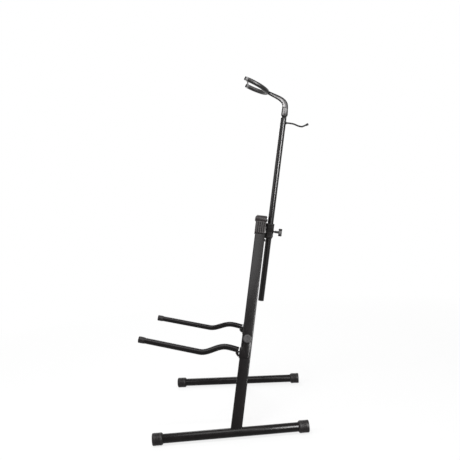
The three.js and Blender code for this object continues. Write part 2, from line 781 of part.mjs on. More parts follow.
// The tongue: a plug in the tube, a collar on its end, and a flat blade for the fold pin.
// Its top is flat behind the pin, where the open gooseneck rests, and round in front.
function tongue() {
  const plugEnds = [neckTubeTop - tonguePlugLength, neckTubeTop + tongueCollar / 2];
  const plug = rod(neckBore - 2 * seatGap, ...plugEnds, up, tubeSides);
  const collar = rod(neckTubeDiameter, neckTubeTop + seatGap, neckTubeTop + tongueCollar, up, tubeSides);
  const half = tongueWidth / 2;
  const shape = new THREE.Shape();
  const drop = foldPinHeight - neckTubeTop - tongueCollar / 2;
  shape.moveTo(half, -drop);
  shape.absarc(0, 0, tongueRadius, Math.acos(half / tongueRadius), Math.PI / 2, false);
  shape.lineTo(-half, tongueRadius);
  shape.lineTo(-half, -drop);
  shape.closePath();
  const blade = at(sidePlate(shape, tongueThickness), 0, foldPinOffset, foldPinHeight);
  const pinHole = rod(foldPinDiameter + 2 * seatGap, -tongueThickness, tongueThickness, right);
  const hookHole = rod(hookRodDiameter + 2 * seatGap, hookRoot - seatGap, neckTubeDiameter, rear);
  const holes = [at(pinHole, 0, foldPinOffset, foldPinHeight), at(hookHole, 0, 0, hookHeight)];
  return cut(joined(plug, collar, blade), ...holes);
}

// Gooseneck pieces, in a frame on the fold pin: reach forward, rise up

function gooseneckCurve() {
  const point = (reach, rise) => new THREE.Vector3(reach, rise, 0);
  const pull = point(
    gooseneckReach - gooseneckHighHandle * Math.cos(gooseneckTilt),
    gooseneckRise - gooseneckHighHandle * Math.sin(gooseneckTilt),
  );
  const start = point(gooseneckLead, gooseneckBendStart);
  const lift = point(gooseneckLead, gooseneckBendStart + gooseneckLowHandle);
  return new THREE.CubicBezierCurve3(start, lift, pull, point(gooseneckReach, gooseneckRise));
}

// Both edges of the tapering bend, drawn in from the outline by inset
function gooseneckShape(inset) {
  const curve = gooseneckCurve();
  const steps = 2 * arcSteps;
  const [outer, inner] = [[], []];
  for (let i = 0; i <= steps; i += 1) {
    const share = i / steps;
    const point = curve.getPoint(share);
    const tangent = curve.getTangent(share);
    const half = THREE.MathUtils.lerp(gooseneckDepthLow, gooseneckDepthHigh, share) / 2 - inset;
    outer.push([point.x - tangent.y * half, point.y + tangent.x * half]);
    inner.push([point.x + tangent.y * half, point.y - tangent.x * half]);
  }
  return outline([...inner, ...outer.reverse()]);
}

function gooseneck() {
  const body = sidePlate(gooseneckShape(0), gooseneckThickness);
  const forkShape = new THREE.Shape();
  forkShape.moveTo(forkRadius, 0);
  forkShape.lineTo(gooseneckLead + gooseneckDepthLow / 2, forkShoulder);
  forkShape.lineTo(gooseneckLead - gooseneckDepthLow / 2, forkShoulder);
  forkShape.lineTo(-forkRadius, 0);
  forkShape.absarc(0, 0, forkRadius, Math.PI, 2 * Math.PI, false);
  const fork = sidePlate(forkShape, 2 * forkHalfWidth, arcSteps, seatGap);
  const slotHeight = 2 * (tongueRadius + seatGap);
  const slot = block(tongueThickness + 2 * seatGap, 2 * tongueWidth, slotHeight);
  const pinHole = rod(foldPinDiameter + 2 * seatGap, -2 * forkHalfWidth, 2 * forkHalfWidth, right);
  const pockets = [];
  for (const side of [-1, 1]) {
    const pocket = sidePlate(gooseneckShape(gooseneckRim), gooseneckPocket);
    pockets.push(at(pocket, side * gooseneckThickness / 2, 0, 0));
  }
  return cut(joined(cut(body, ...pockets), fork), slot, pinHole);
}

function foldPin() {
  const face = forkHalfWidth + seatGap;
  const head = foldPinHeadDiameter / 2;
  const shank = foldPinDiameter / 2;
  const crown = head - foldPinHeadThickness / 2;
  const outer = face + foldPinHeadThickness;
  const profile = [[0, -outer], [crown, -outer], [head, -face], [shank, -face], [shank, face]];
  profile.push([head, face], [crown, outer], [0, outer]);
  return turned(profile, right);
}

// Yoke pieces, in a frame at the gooseneck's end: x sideways, y rearward along the prongs

function yokePath(length) {
  const [half, corner] = [yokeHalfWidth, yokeCorner];
  const handle = corner * (1 - cornerHandleShare);
  const point = (side, reach) => new THREE.Vector3(side, -reach, 0);
  const path = new THREE.CurvePath();
  const turn = (side) => [
    point(side * half, corner),
    point(side * half, handle),
    point(side * (half - handle), 0),
    point(side * (half - corner), 0),
  ];
  path.add(new THREE.LineCurve3(point(-half, length), point(-half, corner)));
  path.add(new THREE.CubicBezierCurve3(...turn(-1)));
  path.add(new THREE.LineCurve3(point(corner - half, 0), point(half - corner, 0)));
  path.add(new THREE.CubicBezierCurve3(...turn(1).reverse()));
  path.add(new THREE.LineCurve3(point(half, corner), point(half, length)));
  return path;
}

function yokeRod() {
  return swept(yokePath(yokeLength - tipButtonLength / 2), yokeRodDiameter, yokeSteps, smallSides);
}

function yokeSleeve() {
  const bore = yokeRodDiameter + 2 * yokeSleeveBoreGap;
  const outer = swept(yokePath(yokeSleeveEnd), yokeSleeveDiameter, yokeSteps, bendSides);
  const inner = swept(yokePath(yokeSleeveEnd + cutOverrun), bore, yokeSteps, smallSides);
  const socketHeight = gooseneckDepthHigh + 4 * seatGap;
  const socket = block(gooseneckThickness + 2 * seatGap, yokeSleeveDiameter, socketHeight);
  return cut(outer, inner, at(socket, 0, yokeSleeveDiameter / 2, 0));
}

// A ring round each prong behind its button, and a flat band between the rings
function neckStrap() {
  const start = yokeSleeveEnd + seatGap;
  const end = start + strapRingLength;
  const rings = [];
  const bores = [];
  for (const side of [-1, 1]) {
    rings.push(at(rod(strapRingDiameter, start, end, front, tubeSides), side * yokeHalfWidth, 0, 0));
    const bore = rod(yokeRodDiameter + 2 * seatGap, start - cutOverrun, end + cutOverrun, front);
    bores.push(at(bore, side * yokeHalfWidth, 0, 0));
  }
  const band = at(block(2 * yokeHalfWidth, strapBandWidth, strapBandThickness), 0, -(start + end) / 2, 0);
  return cut(joined(...rings, band), ...bores);
}

function tipButton() {
  const radius = tipButtonDiameter / 2;
  const start = yokeLength - tipButtonLength;
  const bore = yokeRodDiameter / 2 + seatGap;
  const floor = yokeLength - tipButtonLength / 2 + seatGap;
  const shoulder = yokeLength - tipButtonRound;
  const profile = [[0, floor], [bore, floor], [bore, start], [radius, start]];
  profile.push(...quarter(radius - tipButtonRound, shoulder, tipButtonRound, 0), [0, yokeLength]);
  return turned(profile, front, tubeSides);
}

// Hook, in a frame on the neck tube's axis at the hook's height

function hookCurve() {
  const points = [new THREE.Vector3(0, hookRoot, 0)];
  points.push(new THREE.Vector3(0, neckTubeDiameter / 2 + hookBushLength, 0));
  for (const [reachShare, riseShare] of hookPathShares) {
    points.push(new THREE.Vector3(0, reachShare * hookReach, riseShare * hookReach));
  }
  return new THREE.CatmullRomCurve3(points);
}

function bowHook() {
  return swept(hookCurve(), hookRodDiameter, hookSteps, smallSides);
}

// A bush between tube and rod, shaped to the tube's round back
function hookBush() {
  const radius = neckTubeDiameter / 2;
  const bore = hookRodDiameter + 2 * seatGap;
  const bush = pipe(hookBushDiameter, bore, radius / 2, radius + hookBushLength, rear);
  const tube = rod(neckTubeDiameter + 2 * seatGap, -hookBushDiameter, hookBushDiameter, up, 2 * tubeSides);
  return cut(bush, tube);
}

function hookTip() {
  const curve = hookCurve();
  const end = curve.getPoint(1);
  const along = curve.getTangent(1);
  const radius = hookTipDiameter / 2;
  const bore = hookRodDiameter / 2 + seatGap;
  const back = radius - hookTipLength;
  const profile = [[0, seatGap], [bore, seatGap], [bore, back], [radius, back]];
  profile.push([radius, 0], ...quarter(0, 0, radius, 0).slice(1));
  return turned(profile, along, smallSides).translate(end.x, end.y, end.z);
}

// Assembly

const stand = new THREE.Group();
const legPlane = new THREE.Group();
legPlane.rotation.x = -legLean;
legPlane.position.z = footHeight;
stand.add(legPlane);

const hub = new THREE.Group();
hub.position.set(0, hingeShift, hingeHeight);
legPlane.add(hub);
place(hub, 'hinge_housing', hingeHousing(), darkPlastic());
for (const [side, word] of [[1, 'right'], [-1, 'left']]) {
  place(hub, `hinge_bolt_${word}`, hingeBolt(), darkSteel()).position.x = side * hingeHalfSpacing;
  place(hub, `hinge_nut_${word}`, hingeNut(), darkSteel()).position.x = side * hingeHalfSpacing;
}
place(legPlane, 'neck_tube_holder', neckHolder(), blackCasting());
place(legPlane, 'holder_bolt', hubBolt(), zinc());

for (const [side, word] of [[1, 'right'], [-1, 'left']]) {
  const flip = side < 0;
  const leg = new THREE.Group();
  leg.position.set(side * hingeHalfSpacing, 0, hingeHeight);
  leg.rotation.y = -side * legSpread;
  legPlane.add(leg);
  place(leg, `leg_end_${word}`, legEnd(), darkPlastic(), flip);
  place(leg, `leg_tube_${word}`, legTube(), paint(), flip);

  const foot = new THREE.Group();
  foot.position.z = -legLength;
  foot.rotation.x = footPitch;
  leg.add(foot);
  place(foot, `foot_tube_${word}`, footTube(), paint());
  place(foot, `foot_cap_front_${word}`, footCap(rear), rubber()).position.y = -footFrontReach;
  place(foot, `foot_cap_rear_${word}`, footCap(front), rubber()).position.y = footRearReach;

  const arm = new THREE.Group();
  arm.position.z = armPivotHeight - legLength;
  leg.add(arm);
  place(arm, `arm_bracket_${word}`, armBracket(), paint(), flip);
  place(arm, `arm_tube_${word}`, armTube(), paint(), flip);
  const cap = place(arm, `arm_cap_${word}`, armCap(), rubber());
  cap.rotation.x = -armRise;
  const tipDrop = armTroughDrop - (armReach - armTroughReach) * Math.tan(armRise);
  cap.position.set(0, -armReach, -tipDrop);
  place(arm, `arm_bolt_${word}`, armBolt(), darkSteel(), flip);
  place(arm, `arm_knob_${word}`, armKnob(), paleKnob(), flip);
}

const neck = new THREE.Group();
neck.position.y = neckTubeOffset;
legPlane.add(neck);
place(neck, 'neck_tube', neckTube(), blackTube());
place(neck, 'neck_tube_plug', neckPlug(), rubber());
place(neck, 'fold_tongue', tongue(), blackCasting());

const clamp = new THREE.Group();
clamp.position.set(0, neckTubeOffset, clampScrewHeight);
legPlane.add(clamp);
place(clamp, 'clamp_screw', clampScrew(), blackCasting());
place(clamp, 'clamp_bar', clampBar(), paleKnob());
place(clamp, 'clamp_bar_end_upper', clampBarEnd(), rubber());
place(clamp, 'clamp_bar_end_lower', clampBarEnd(), rubber()).rotation.y = Math.PI;

const hook = new THREE.Group();
hook.position.z = hookHeight;
neck.add(hook);
place(hook, 'bow_hook', bowHook(), blackTube());
place(hook, 'bow_hook_bush', hookBush(), rubber());
place(hook, 'bow_hook_tip', hookTip(), rubber());

const fold = new THREE.Group();
fold.position.set(0, foldPinOffset, foldPinHeight);
neck.add(fold);
place(fold, 'gooseneck', gooseneck(), castSilver());
place(fold, 'fold_pin', foldPin(), darkSteel());

const yoke = new THREE.Group();
const yokeLead = yokeRodDiameter / 2 + seatGap;
const yokeOut = gooseneckReach + yokeLead * Math.cos(gooseneckTilt);
yoke.position.set(0, -yokeOut, gooseneckRise + yokeLead * Math.sin(gooseneckTilt));
yoke.rotation.x = -yokeTilt;
fold.add(yoke);
place(yoke, 'yoke_rod', yokeRod(), zinc());
place(yoke, 'yoke_sleeve', yokeSleeve(), rubber());
place(yoke, 'neck_strap', neckStrap(), paleRubber());
for (const [side, word] of [[1, 'right'], [-1, 'left']]) {
  place(yoke, `tip_button_${word}`, tipButton(), rubber()).position.x = side * yokeHalfWidth;
}

// The origin is under the middle of the stand, on the floor
stand.updateMatrixWorld(true);
const bounds = new THREE.Box3().setFromObject(stand, true);
const middle = bounds.getCenter(new THREE.Vector3());
stand.position.set(-middle.x, -middle.y, -bounds.min.z);

const part = new THREE.Group();
part.add(stand);

export default part;
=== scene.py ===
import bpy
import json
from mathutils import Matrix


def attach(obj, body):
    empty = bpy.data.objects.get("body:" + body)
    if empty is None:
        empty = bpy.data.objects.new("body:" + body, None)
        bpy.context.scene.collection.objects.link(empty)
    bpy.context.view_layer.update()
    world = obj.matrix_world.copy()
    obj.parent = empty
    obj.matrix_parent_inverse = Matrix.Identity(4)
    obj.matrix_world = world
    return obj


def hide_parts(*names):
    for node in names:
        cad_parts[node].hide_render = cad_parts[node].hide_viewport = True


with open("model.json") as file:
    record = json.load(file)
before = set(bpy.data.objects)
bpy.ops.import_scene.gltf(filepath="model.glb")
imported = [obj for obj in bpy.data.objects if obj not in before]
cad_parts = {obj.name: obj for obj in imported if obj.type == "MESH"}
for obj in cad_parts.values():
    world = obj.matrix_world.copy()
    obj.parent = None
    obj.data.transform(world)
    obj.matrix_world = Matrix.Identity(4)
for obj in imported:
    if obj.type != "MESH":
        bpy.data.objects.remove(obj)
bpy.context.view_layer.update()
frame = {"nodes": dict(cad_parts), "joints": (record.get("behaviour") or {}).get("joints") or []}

import json
import math

import bmesh
import bpy
from mathutils import Matrix, Vector, noise

mm = 0.001
print("frame loaded:", len(frame["nodes"]), "nodes")

# where things are: every local frame comes from the record's joints

stance = {
    "hingeHeight": 655, "hingeHalf": 14, "hingeShift": -1.25, "neckOffset": 31.8,
    "hookHeight": 995, "gooseTilt": 21, "yokeTilt": 18.5, "yokeOut": 64.9, "yokeUp": 67.2, "yokeGap": 4.3,
}
joints = {j["name"]: j for j in frame["joints"]}


def jointPlace(name):
    return Vector(joints[name]["pos_m"])


def frameAt(origin, x, y):
    z = x.cross(y)
    grid = Matrix((x, y, z)).transposed().to_4x4()
    grid.translation = origin
    return grid


def shift(x, y, z):
    return Matrix.Translation(Vector((x, y, z)) * mm)


def turnX(angle):
    return Matrix.Rotation(angle, 4, "X")


sideways = Vector((1, 0, 0))
upSlope = Vector(joints["neck_slide"]["axis"]).normalized()
rearward = upSlope.cross(sideways)
hingeRight = jointPlace("leg_right_fold")
slope = frameAt(Vector((0, *hingeRight.yz)), sideways, rearward) @ shift(0, 0, -stance["hingeHeight"])
hub = slope @ shift(0, stance["hingeShift"], stance["hingeHeight"])
neck = slope @ shift(0, stance["neckOffset"], 0)
hook = neck @ shift(0, 0, stance["hookHeight"])
clamp = frameAt(jointPlace("clamp_turn"), sideways, rearward)
fold = frameAt(jointPlace("yoke_fold"), sideways, rearward)
tilt = math.radians(stance["gooseTilt"])
yokeOut = stance["yokeOut"] + stance["yokeGap"] * math.cos(tilt)
yokeUp = stance["yokeUp"] + stance["yokeGap"] * math.sin(tilt)
yoke = fold @ shift(0, -yokeOut, yokeUp) @ turnX(-math.radians(stance["yokeTilt"]))
legs, arms, feet = {}, {}, {}
outward = -Vector(joints["arm_right_fold"]["axis"])
legSpread = math.acos(rearward.cross(outward).dot(-upSlope))
legLength = stance["hingeHeight"] / math.cos(legSpread)
footPitch = math.atan(upSlope.y / upSlope.z / math.cos(legSpread))
for word in ("right", "left"):
    across = -Vector(joints[f"arm_{word}_fold"]["axis"])
    legs[word] = frameAt(jointPlace(f"leg_{word}_fold"), across, rearward)
    arms[word] = frameAt(jointPlace(f"arm_{word}_fold"), across, rearward)
    foot = legs[word] @ shift(0, 0, -legLength) @ turnX(footPitch)
    along = foot.to_3x3() @ Vector((0, 1, 0))
    feet[word] = frameAt(foot.translation, along.cross(Vector((0, 0, 1))), along)
sides = (("right", False), ("left", True))

# outlines, all in millimetres


def rounded(points, steps=5, closed=True):
    # points are (x, y) or (x, y, fillet radius)
    made = []
    count = len(points)
    for i, point in enumerate(points):
        here = Vector(point[:2])
        fillet = point[2] if len(point) > 2 else 0
        if fillet <= 0 or (not closed and i in (0, count - 1)):
            made.append(here)
            continue
        back = Vector(points[i - 1][:2]) - here
        ahead = Vector(points[(i + 1) % count][:2]) - here
        half = back.angle(ahead) / 2
        reach = min(fillet / math.tan(half), back.length * 0.499, ahead.length * 0.499)
        size = reach * math.tan(half)
        centre = here + (back.normalized() + ahead.normalized()).normalized() * (size / math.sin(half))
        first = here + back.normalized() * reach - centre
        turn = first.angle_signed(here + ahead.normalized() * reach - centre)
        for k in range(steps + 1):
            made.append(centre + Matrix.Rotation(-turn * k / steps, 2) @ first)
    return made


def ringOf(radius, count=40, centre=(0, 0), start=0.0, sweepAngle=2 * math.pi):
    whole = abs(sweepAngle - 2 * math.pi) < 1e-6
    last = count if whole else count + 1
    return [
        Vector(centre) + Vector((math.cos(a), math.sin(a))) * radius
        for a in (start + sweepAngle * i / count for i in range(last))
    ]


def boxOutline(width, height, radius, steps=6):
    x, y = width / 2, height / 2
    return rounded([(x, -y, radius), (x, y, radius), (-x, y, radius), (-x, -y, radius)], steps)


# meshes, as bmesh, in millimetres


def lathe(profile, segments=56, axis="Z"):
    bm = bmesh.new()
    rings = []
    for radius, along in profile:
        if radius < 1e-6:
            rings.append([bm.verts.new((0, 0, along))])
            continue
        angles = (2 * math.pi * i / segments for i in range(segments))
        rings.append([bm.verts.new((radius * math.cos(a), radius * math.sin(a), along)) for a in angles])
    pairs = list(zip(rings, rings[1:]))
    if len(rings[0]) > 1:
        pairs.append((rings[-1], rings[0]))
    for low, high in pairs:
        for i in range(segments):
            k = (i + 1) % segments
            corners = [low[i % len(low)], low[k % len(low)], high[k % len(high)], high[i % len(high)]]
            unique = list(dict.fromkeys(corners))
            if len(unique) > 2:
                bm.faces.new(unique)
    return turnedTo(bm, axis)


def turnedTo(bm, axis):
    # the mesh's own z goes to the axis asked for
    turns = {
        "Z": Matrix.Identity(3), "Y": Matrix.Rotation(-math.pi / 2, 3, "X"),
        "-Y": Matrix.Rotation(math.pi / 2, 3, "X"), "X": Matrix.Rotation(math.pi / 2, 3, "Y"),
    }
    turn = turns[axis] if isinstance(axis, str) else axis
    bmesh.ops.transform(bm, matrix=turn.to_4x4(), verts=bm.verts)
    bmesh.ops.recalc_face_normals(bm, faces=bm.faces)
    return bm


def spun(points, segments=48, axis="Z", steps=4):
    # a lathe of an open outline with fillets
    return lathe(rounded(points, steps, closed=False), segments, axis)


def cylinder(radius, low, high, segments=32, axis="Z"):
    return lathe([(0, low), (radius, low), (radius, high), (0, high)], segments, axis)


def prism(points, low, high, edge=0.0, segments=3, axis="Z"):
    bm = bmesh.new()
    floor = [bm.verts.new((p[0], p[1], low)) for p in points]
    roof = [bm.verts.new((p[0], p[1], high)) for p in points]
    bm.faces.new(list(reversed(floor)))
    bm.faces.new(roof)
    for i in range(len(points)):
        k = (i + 1) % len(points)
        bm.faces.new((floor[i], floor[k], roof[k], roof[i]))
    bmesh.ops.recalc_face_normals(bm, faces=bm.faces)
    if edge > 0:
        softenEdges(bm, edge, segments)
    return turnedTo(bm, axis)


def softenEdges(bm, width, segments=3, least=35):
    sharp = [e for e in bm.edges if len(e.link_faces) == 2 and e.calc_face_angle(0) > math.radians(least)]
    bmesh.ops.bevel(
        bm, geom=sharp, offset=width, offset_type="OFFSET", segments=segments, profile=0.5,
        affect="EDGES", clamp_overlap=True,
    )


sidePlane = Matrix(((0, 0, -1), (-1, 0, 0), (0, 1, 0)))  # outline x forward, y up, thickness sideways
facePlane = Matrix(((1, 0, 0), (0, 0, -1), (0, 1, 0)))  # outline x right, y up, thickness to the rear
outerPlane = Matrix(((0, 0, 1), (1, 0, 0), (0, 1, 0)))  # outline x to the rear, y up, thickness outwards


def skinned(bm, rings, closed=False):
    # faces from ring to ring, and a cap on each end of an open run
    for low, high in zip(rings, rings[1:] + rings[:1] if closed else rings[1:]):
        for k in range(len(low)):
            m = (k + 1) % len(low)
            bm.faces.new((low[k], low[m], high[m], high[k]))
    if not closed:
        bm.faces.new(rings[0])
        bm.faces.new(list(reversed(rings[-1])))
    bmesh.ops.recalc_face_normals(bm, faces=bm.faces)
    return bm


def sweep(path, radii, sides=28, closed=False):
    bm = bmesh.new()
    count = len(path)
    tangents = []
    for i in range(count):
        before = path[i - 1] if i or closed else path[0]
        after = path[(i + 1) % count] if i < count - 1 or closed else path[-1]
        tangents.append((after - before).normalized())
    normal = tangents[0].orthogonal().normalized()
    rings = []
    for i, point in enumerate(path):
        normal = (normal - tangents[i] * normal.dot(tangents[i])).normalized()
        across = tangents[i].cross(normal)
        radius = radii[i] if hasattr(radii, "__len__") else radii
        angles = (2 * math.pi * k / sides for k in range(sides))
        spots = [point + (normal * math.cos(a) + across * math.sin(a)) * radius for a in angles]
        rings.append([bm.verts.new(spot) for spot in spots])
    if closed:  # the last ring is turned to meet the first
        first, last = rings[0], rings[-1]
        start = min(range(sides), key=lambda k: (last[k].co - first[0].co).length)
        last = last[start:] + last[:start]
        if (last[1].co - first[1].co).length > (last[-1].co - first[1].co).length:
            last = [last[0]] + last[:0:-1]
        rings[-1] = last
    return skinned(bm, rings, closed)


def moved(bm, x=0, y=0, z=0, turn=None):
    matrix = Matrix.Translation((x, y, z))
    if turn is not None:
        matrix = matrix @ turn
    bmesh.ops.transform(bm, matrix=matrix, verts=bm.verts)
    return bm


def mirrored(bm):
    bmesh.ops.scale(bm, vec=(-1, 1, 1), verts=bm.verts)
    bmesh.ops.reverse_faces(bm, faces=bm.faces)
    return bm


def joinedMesh(*meshes):
    whole = bmesh.new()
    for part in meshes:
        data = bpy.data.meshes.new("part")
        part.to_mesh(data)
        part.free()
        whole.from_mesh(data)
        bpy.data.meshes.remove(data)
    return whole


def linked(name, data):
    thing = bpy.data.objects.new(name, data)
    bpy.context.scene.collection.objects.link(thing)
    return thing


def objectFrom(bm, name):
    data = bpy.data.meshes.new(name)
    bm.to_mesh(data)
    bm.free()
    return linked(name, data)


def carved(body, *tools):
    # tools are (operation, bmesh); everything is exact and closed
    target = objectFrom(body, "loose")
    for operation, tool in tools:
        other = objectFrom(tool, "loose")
        cutter = target.modifiers.new("cut", "BOOLEAN")
        cutter.operation = operation
        cutter.solver = "EXACT"
        cutter.object = other
        graph = bpy.context.evaluated_depsgraph_get()
        data = bpy.data.meshes.new_from_object(target.evaluated_get(graph))
        target.modifiers.clear()
        old = target.data
        target.data = data
        bpy.data.meshes.remove(old)
        bpy.data.objects.remove(other)
    made = bmesh.new()
    made.from_mesh(target.data)
    bpy.data.objects.remove(target)
    bmesh.ops.dissolve_degenerate(made, dist=1e-4, edges=made.edges)
    return made


def addPiece(name, bm, place, body, nodes, material, flip=False, second=None):
    if flip:
        mirrored(bm)
    bmesh.ops.scale(bm, vec=(mm, mm, mm), verts=bm.verts)
    piece = objectFrom(bm, name)
    piece.data.shade_smooth()
    piece.data.set_sharp_from_angle(angle=math.radians(32))
    piece.matrix_world = place
    piece.data.materials.append(material)
    if second:
        piece.data.materials.append(second)
    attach(piece, body)
    if nodes:
        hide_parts(*nodes)
    return piece


# materials


class Wire:
    def __init__(self, finish, socket):
        self.finish, self.socket = finish, socket

    def math(self, operation, first, second):
        return self.finish.math(operation, first, second)

    def __add__(self, other):
        return self.math("ADD", self, other)

    def __radd__(self, other):
        return self.math("ADD", other, self)

    def __sub__(self, other):
        return self.math("SUBTRACT", self, other)

    def __rsub__(self, other):
        return self.math("SUBTRACT", other, self)

    def __mul__(self, other):
        return self.math("MULTIPLY", self, other)

    def __rmul__(self, other):
        return self.math("MULTIPLY", other, self)


class Finish:
    def __init__(self, name, tree=None):
        if tree is None:
            self.material = bpy.data.materials.new(name)
            self.material.use_nodes = True
            tree = self.material.node_tree
        self.tree = tree
        self.tree.nodes.clear()

    def add(self, kind, settings=None, inputs=None, output=0):
        node = self.tree.nodes.new(kind)
        for key, value in (settings or {}).items():
            if key == "stops":
                ramp = node.color_ramp.elements
                while len(ramp) < len(value):
                    ramp.new(0.5)
                for element, (place, shade) in zip(ramp, value):
                    element.position = place
                    element.color = (shade, shade, shade, 1)
            else:
                setattr(node, key, value)
        pairs = enumerate(inputs) if isinstance(inputs, list) else (inputs or {}).items()
        for key, value in pairs:
            if isinstance(value, Wire):
                self.tree.links.new(value.socket, node.inputs[key])
            elif value is not None:
                node.inputs[key].default_value = value
        self.last = node
        return Wire(self, node.outputs[output]) if len(node.outputs) else None

    def math(self, operation, first, second):
        return self.add("ShaderNodeMath", {"operation": operation}, [first, second])

    def place(self, stretch=(1, 1, 1)):
        spot = self.add("ShaderNodeTexCoord", output=3)
        return self.add("ShaderNodeMapping", {}, {"Vector": spot, "Scale": stretch})

    def noise(self, scale, detail=3.0, rough=0.55, stretch=(1, 1, 1)):
        values = {"Vector": self.place(stretch), "Scale": scale, "Detail": detail, "Roughness": rough}
        return self.add("ShaderNodeTexNoise", {}, values)

    def cells(self, scale):
        return self.add("ShaderNodeTexVoronoi", {}, {"Vector": self.place(), "Scale": scale})

    def ramp(self, value, *stops):
        return self.add("ShaderNodeValToRGB", {"stops": stops}, [value])

    def between(self, share, dark, light):
        dark, light = (c if isinstance(c, Wire) else (*c, 1) for c in (dark, light))
        values = {"Factor": share, 6: dark, 7: light}
        return self.add("ShaderNodeMix", {"data_type": "RGBA"}, values, output=2)

    def bump(self, height, strength, distance):
        values = {"Height": height, "Strength": strength, "Distance": distance * mm}
        return self.add("ShaderNodeBump", {}, values)

    def close(self, **sockets):
        named = {key.replace("_", " ").title().replace("Ior", "IOR"): value for key, value in sockets.items()}
        shader = self.add("ShaderNodeBsdfPrincipled", {}, named)
        self.add("ShaderNodeOutputMaterial", {}, {"Surface": shader})
        return self.material


paintLook = {
    "dark": (0.0030, 0.0021, 0.0023), "light": (0.0064, 0.0048, 0.0051), "dust": (0.034, 0.030, 0.030),
    "peel": 1500, "rough": 0.15, "shine": 0.12,
}


def makePaint():
    # satin powder paint: fine orange peel, broad uneven gloss, a little settled dust
    look = paintLook
    f = Finish("satinBlackPaint")
    peel = f.noise(look["peel"], 2.0)
    broad = f.noise(22, 4.0, stretch=(1, 1, 0.4))
    specks = f.ramp(f.cells(620), (0.0, 1.0), (0.1, 0.0))
    colour = f.between(f.ramp(broad, (0.35, 0.0), (0.7, 1.0)), look["dark"], look["light"])
    colour = f.between(specks * 0.35, colour, look["dust"])
    rough = broad * 0.14 + look["rough"] + peel * 0.06
    normal = f.bump(peel + specks * 0.4, 0.16, 0.22)
    return f.close(base_color=colour, roughness=rough, normal=normal, specular_ior_level=look["shine"])


glossLook = {"dark": (0.0030, 0.0022, 0.0024), "light": (0.0065, 0.0052, 0.0055), "rough": 0.26, "shine": 0.2}


def makeGloss():
    # gloss paint on drawn tube: faint lines along it, a few hairline rubs from sliding
    look = glossLook
    f = Finish("glossBlackPaint")
    lines = f.noise(260, 3.0, stretch=(1, 1, 0.012))
    rubs = f.ramp(f.noise(700, 2.0, stretch=(1, 1, 0.02)), (0.62, 0.0), (0.72, 1.0))
    broad = f.noise(18, 3.0)
    colour = f.between(rubs * 0.5 + broad * 0.4, look["dark"], look["light"])
    rough = lines * 0.02 + look["rough"] + rubs * 0.02
    normal = f.bump(lines, 0.01, 0.02)
    return f.close(base_color=colour, roughness=rough, normal=normal, specular_ior_level=look["shine"])


def makeMoulding(name, dark, light, rough, grain=2600, shine=0.3):
    # spark-eroded mould skin with flow marks
    f = Finish(name)
    skin = f.noise(grain, 3.0, 0.7)
    pits = f.cells(grain * 0.7)
    flow = f.noise(55, 4.0, stretch=(1, 1, 0.35))
    colour = f.between(f.ramp(flow, (0.3, 0.0), (0.75, 1.0)) * 0.7 + skin * 0.3, dark, light)
    gloss = skin * 0.16 + rough + flow * 0.06
    normal = f.bump(skin + pits * 0.5, 0.3, 0.2)
    return f.close(base_color=colour, roughness=gloss, normal=normal, specular_ior_level=shine)


def makeRubber(name, dark, light, rough=0.5, shine=0.3):
    # rubber with a bloom of dust and tiny pores
    f = Finish(name)
    pores = f.cells(2100)
    fine = f.noise(1700, 3.0)
    bloom = f.noise(40, 5.0)
    holes = f.ramp(pores, (0.0, 0.0), (0.16, 1.0))
    colour = f.between(f.ramp(bloom, (0.35, 0.0), (0.72, 1.0)) * 0.8 + fine * 0.2, dark, light)
    gloss = rough + bloom * 0.16
    normal = f.bump(fine * 0.6 + holes * 0.5, 0.34, 0.2)
    return f.close(base_color=colour, roughness=gloss, normal=normal, specular_ior_level=shine)


def makeMetal(name, dark, light, rough, grain, stretch=(1, 1, 1), strength=0.3, metallic=0.9, shine=0.5):
    f = Finish(name)
    fine = f.noise(grain, 4.0, 0.6, stretch)
    broad = f.noise(70, 3.0)
    colour = f.between(f.ramp(broad, (0.3, 0.0), (0.7, 1.0)) * 0.6 + fine * 0.4, dark, light)
    gloss = fine * 0.14 + rough + broad * 0.08
    normal = f.bump(fine, strength, 0.18)
    values = {"metallic": metallic, "specular_ior_level": shine}
    return f.close(base_color=colour, roughness=gloss, normal=normal, **values)


satinPaint = makePaint()
glossPaint = makeGloss()
darkMoulding = makeMoulding(
    "darkGreyMoulding", (0.0090, 0.0056, 0.0057), (0.0195, 0.0145, 0.0147), 0.3, shine=0.18)
blackMoulding = makeMoulding(
    "blackMoulding", (0.0026, 0.0017, 0.0018), (0.0066, 0.0047, 0.0049), 0.28, shine=0.11)
paleMoulding = makeMoulding(
    "paleGreyMoulding", (0.034, 0.032, 0.033), (0.055, 0.052, 0.054), 0.36, 1900, 0.16)
barMoulding = makeMoulding("greyBarMoulding", (0.085, 0.082, 0.083), (0.125, 0.121, 0.122), 0.36, 1900, 0.16)
sleeveRubber = makeRubber("sleeveRubber", (0.0055, 0.0046, 0.0046), (0.012, 0.0100, 0.0100), 0.3, 0.28)
blackRubber = makeRubber("blackRubber", (0.0062, 0.0048, 0.0050), (0.0145, 0.0120, 0.0124), 0.36, 0.17)
paleRubber = makeRubber("paleRubber", (0.15, 0.146, 0.147), (0.22, 0.216, 0.217), 0.42)
# painted shade: a darker, duller moulding for the groove floors and the seam gap of the leg ends
groovePaintedShade = makeMoulding(
    "groovePaintedShade", (0.0020, 0.0015, 0.0016), (0.005, 0.004, 0.0042), 0.5, shine=0.05)
castBlack = makeMetal(
    "blackCasting", (0.004, 0.0034, 0.0035), (0.011, 0.0094, 0.0097), 0.32, 900, metallic=0.0, shine=0.22)
castSilver = makeMetal("silverCasting", (0.04, 0.037, 0.037), (0.15, 0.146, 0.146), 0.34, 620, metallic=0.4)
# painted shade: near black for the gooseneck's rims, standing in for the dark reflections along its edges
castRimPaintedShade = makeMetal(
    "castingRimPaintedShade", (0.0022, 0.0017, 0.0017), (0.006, 0.0049, 0.0049), 0.3, 1100,
    metallic=0.0, shine=0.08)
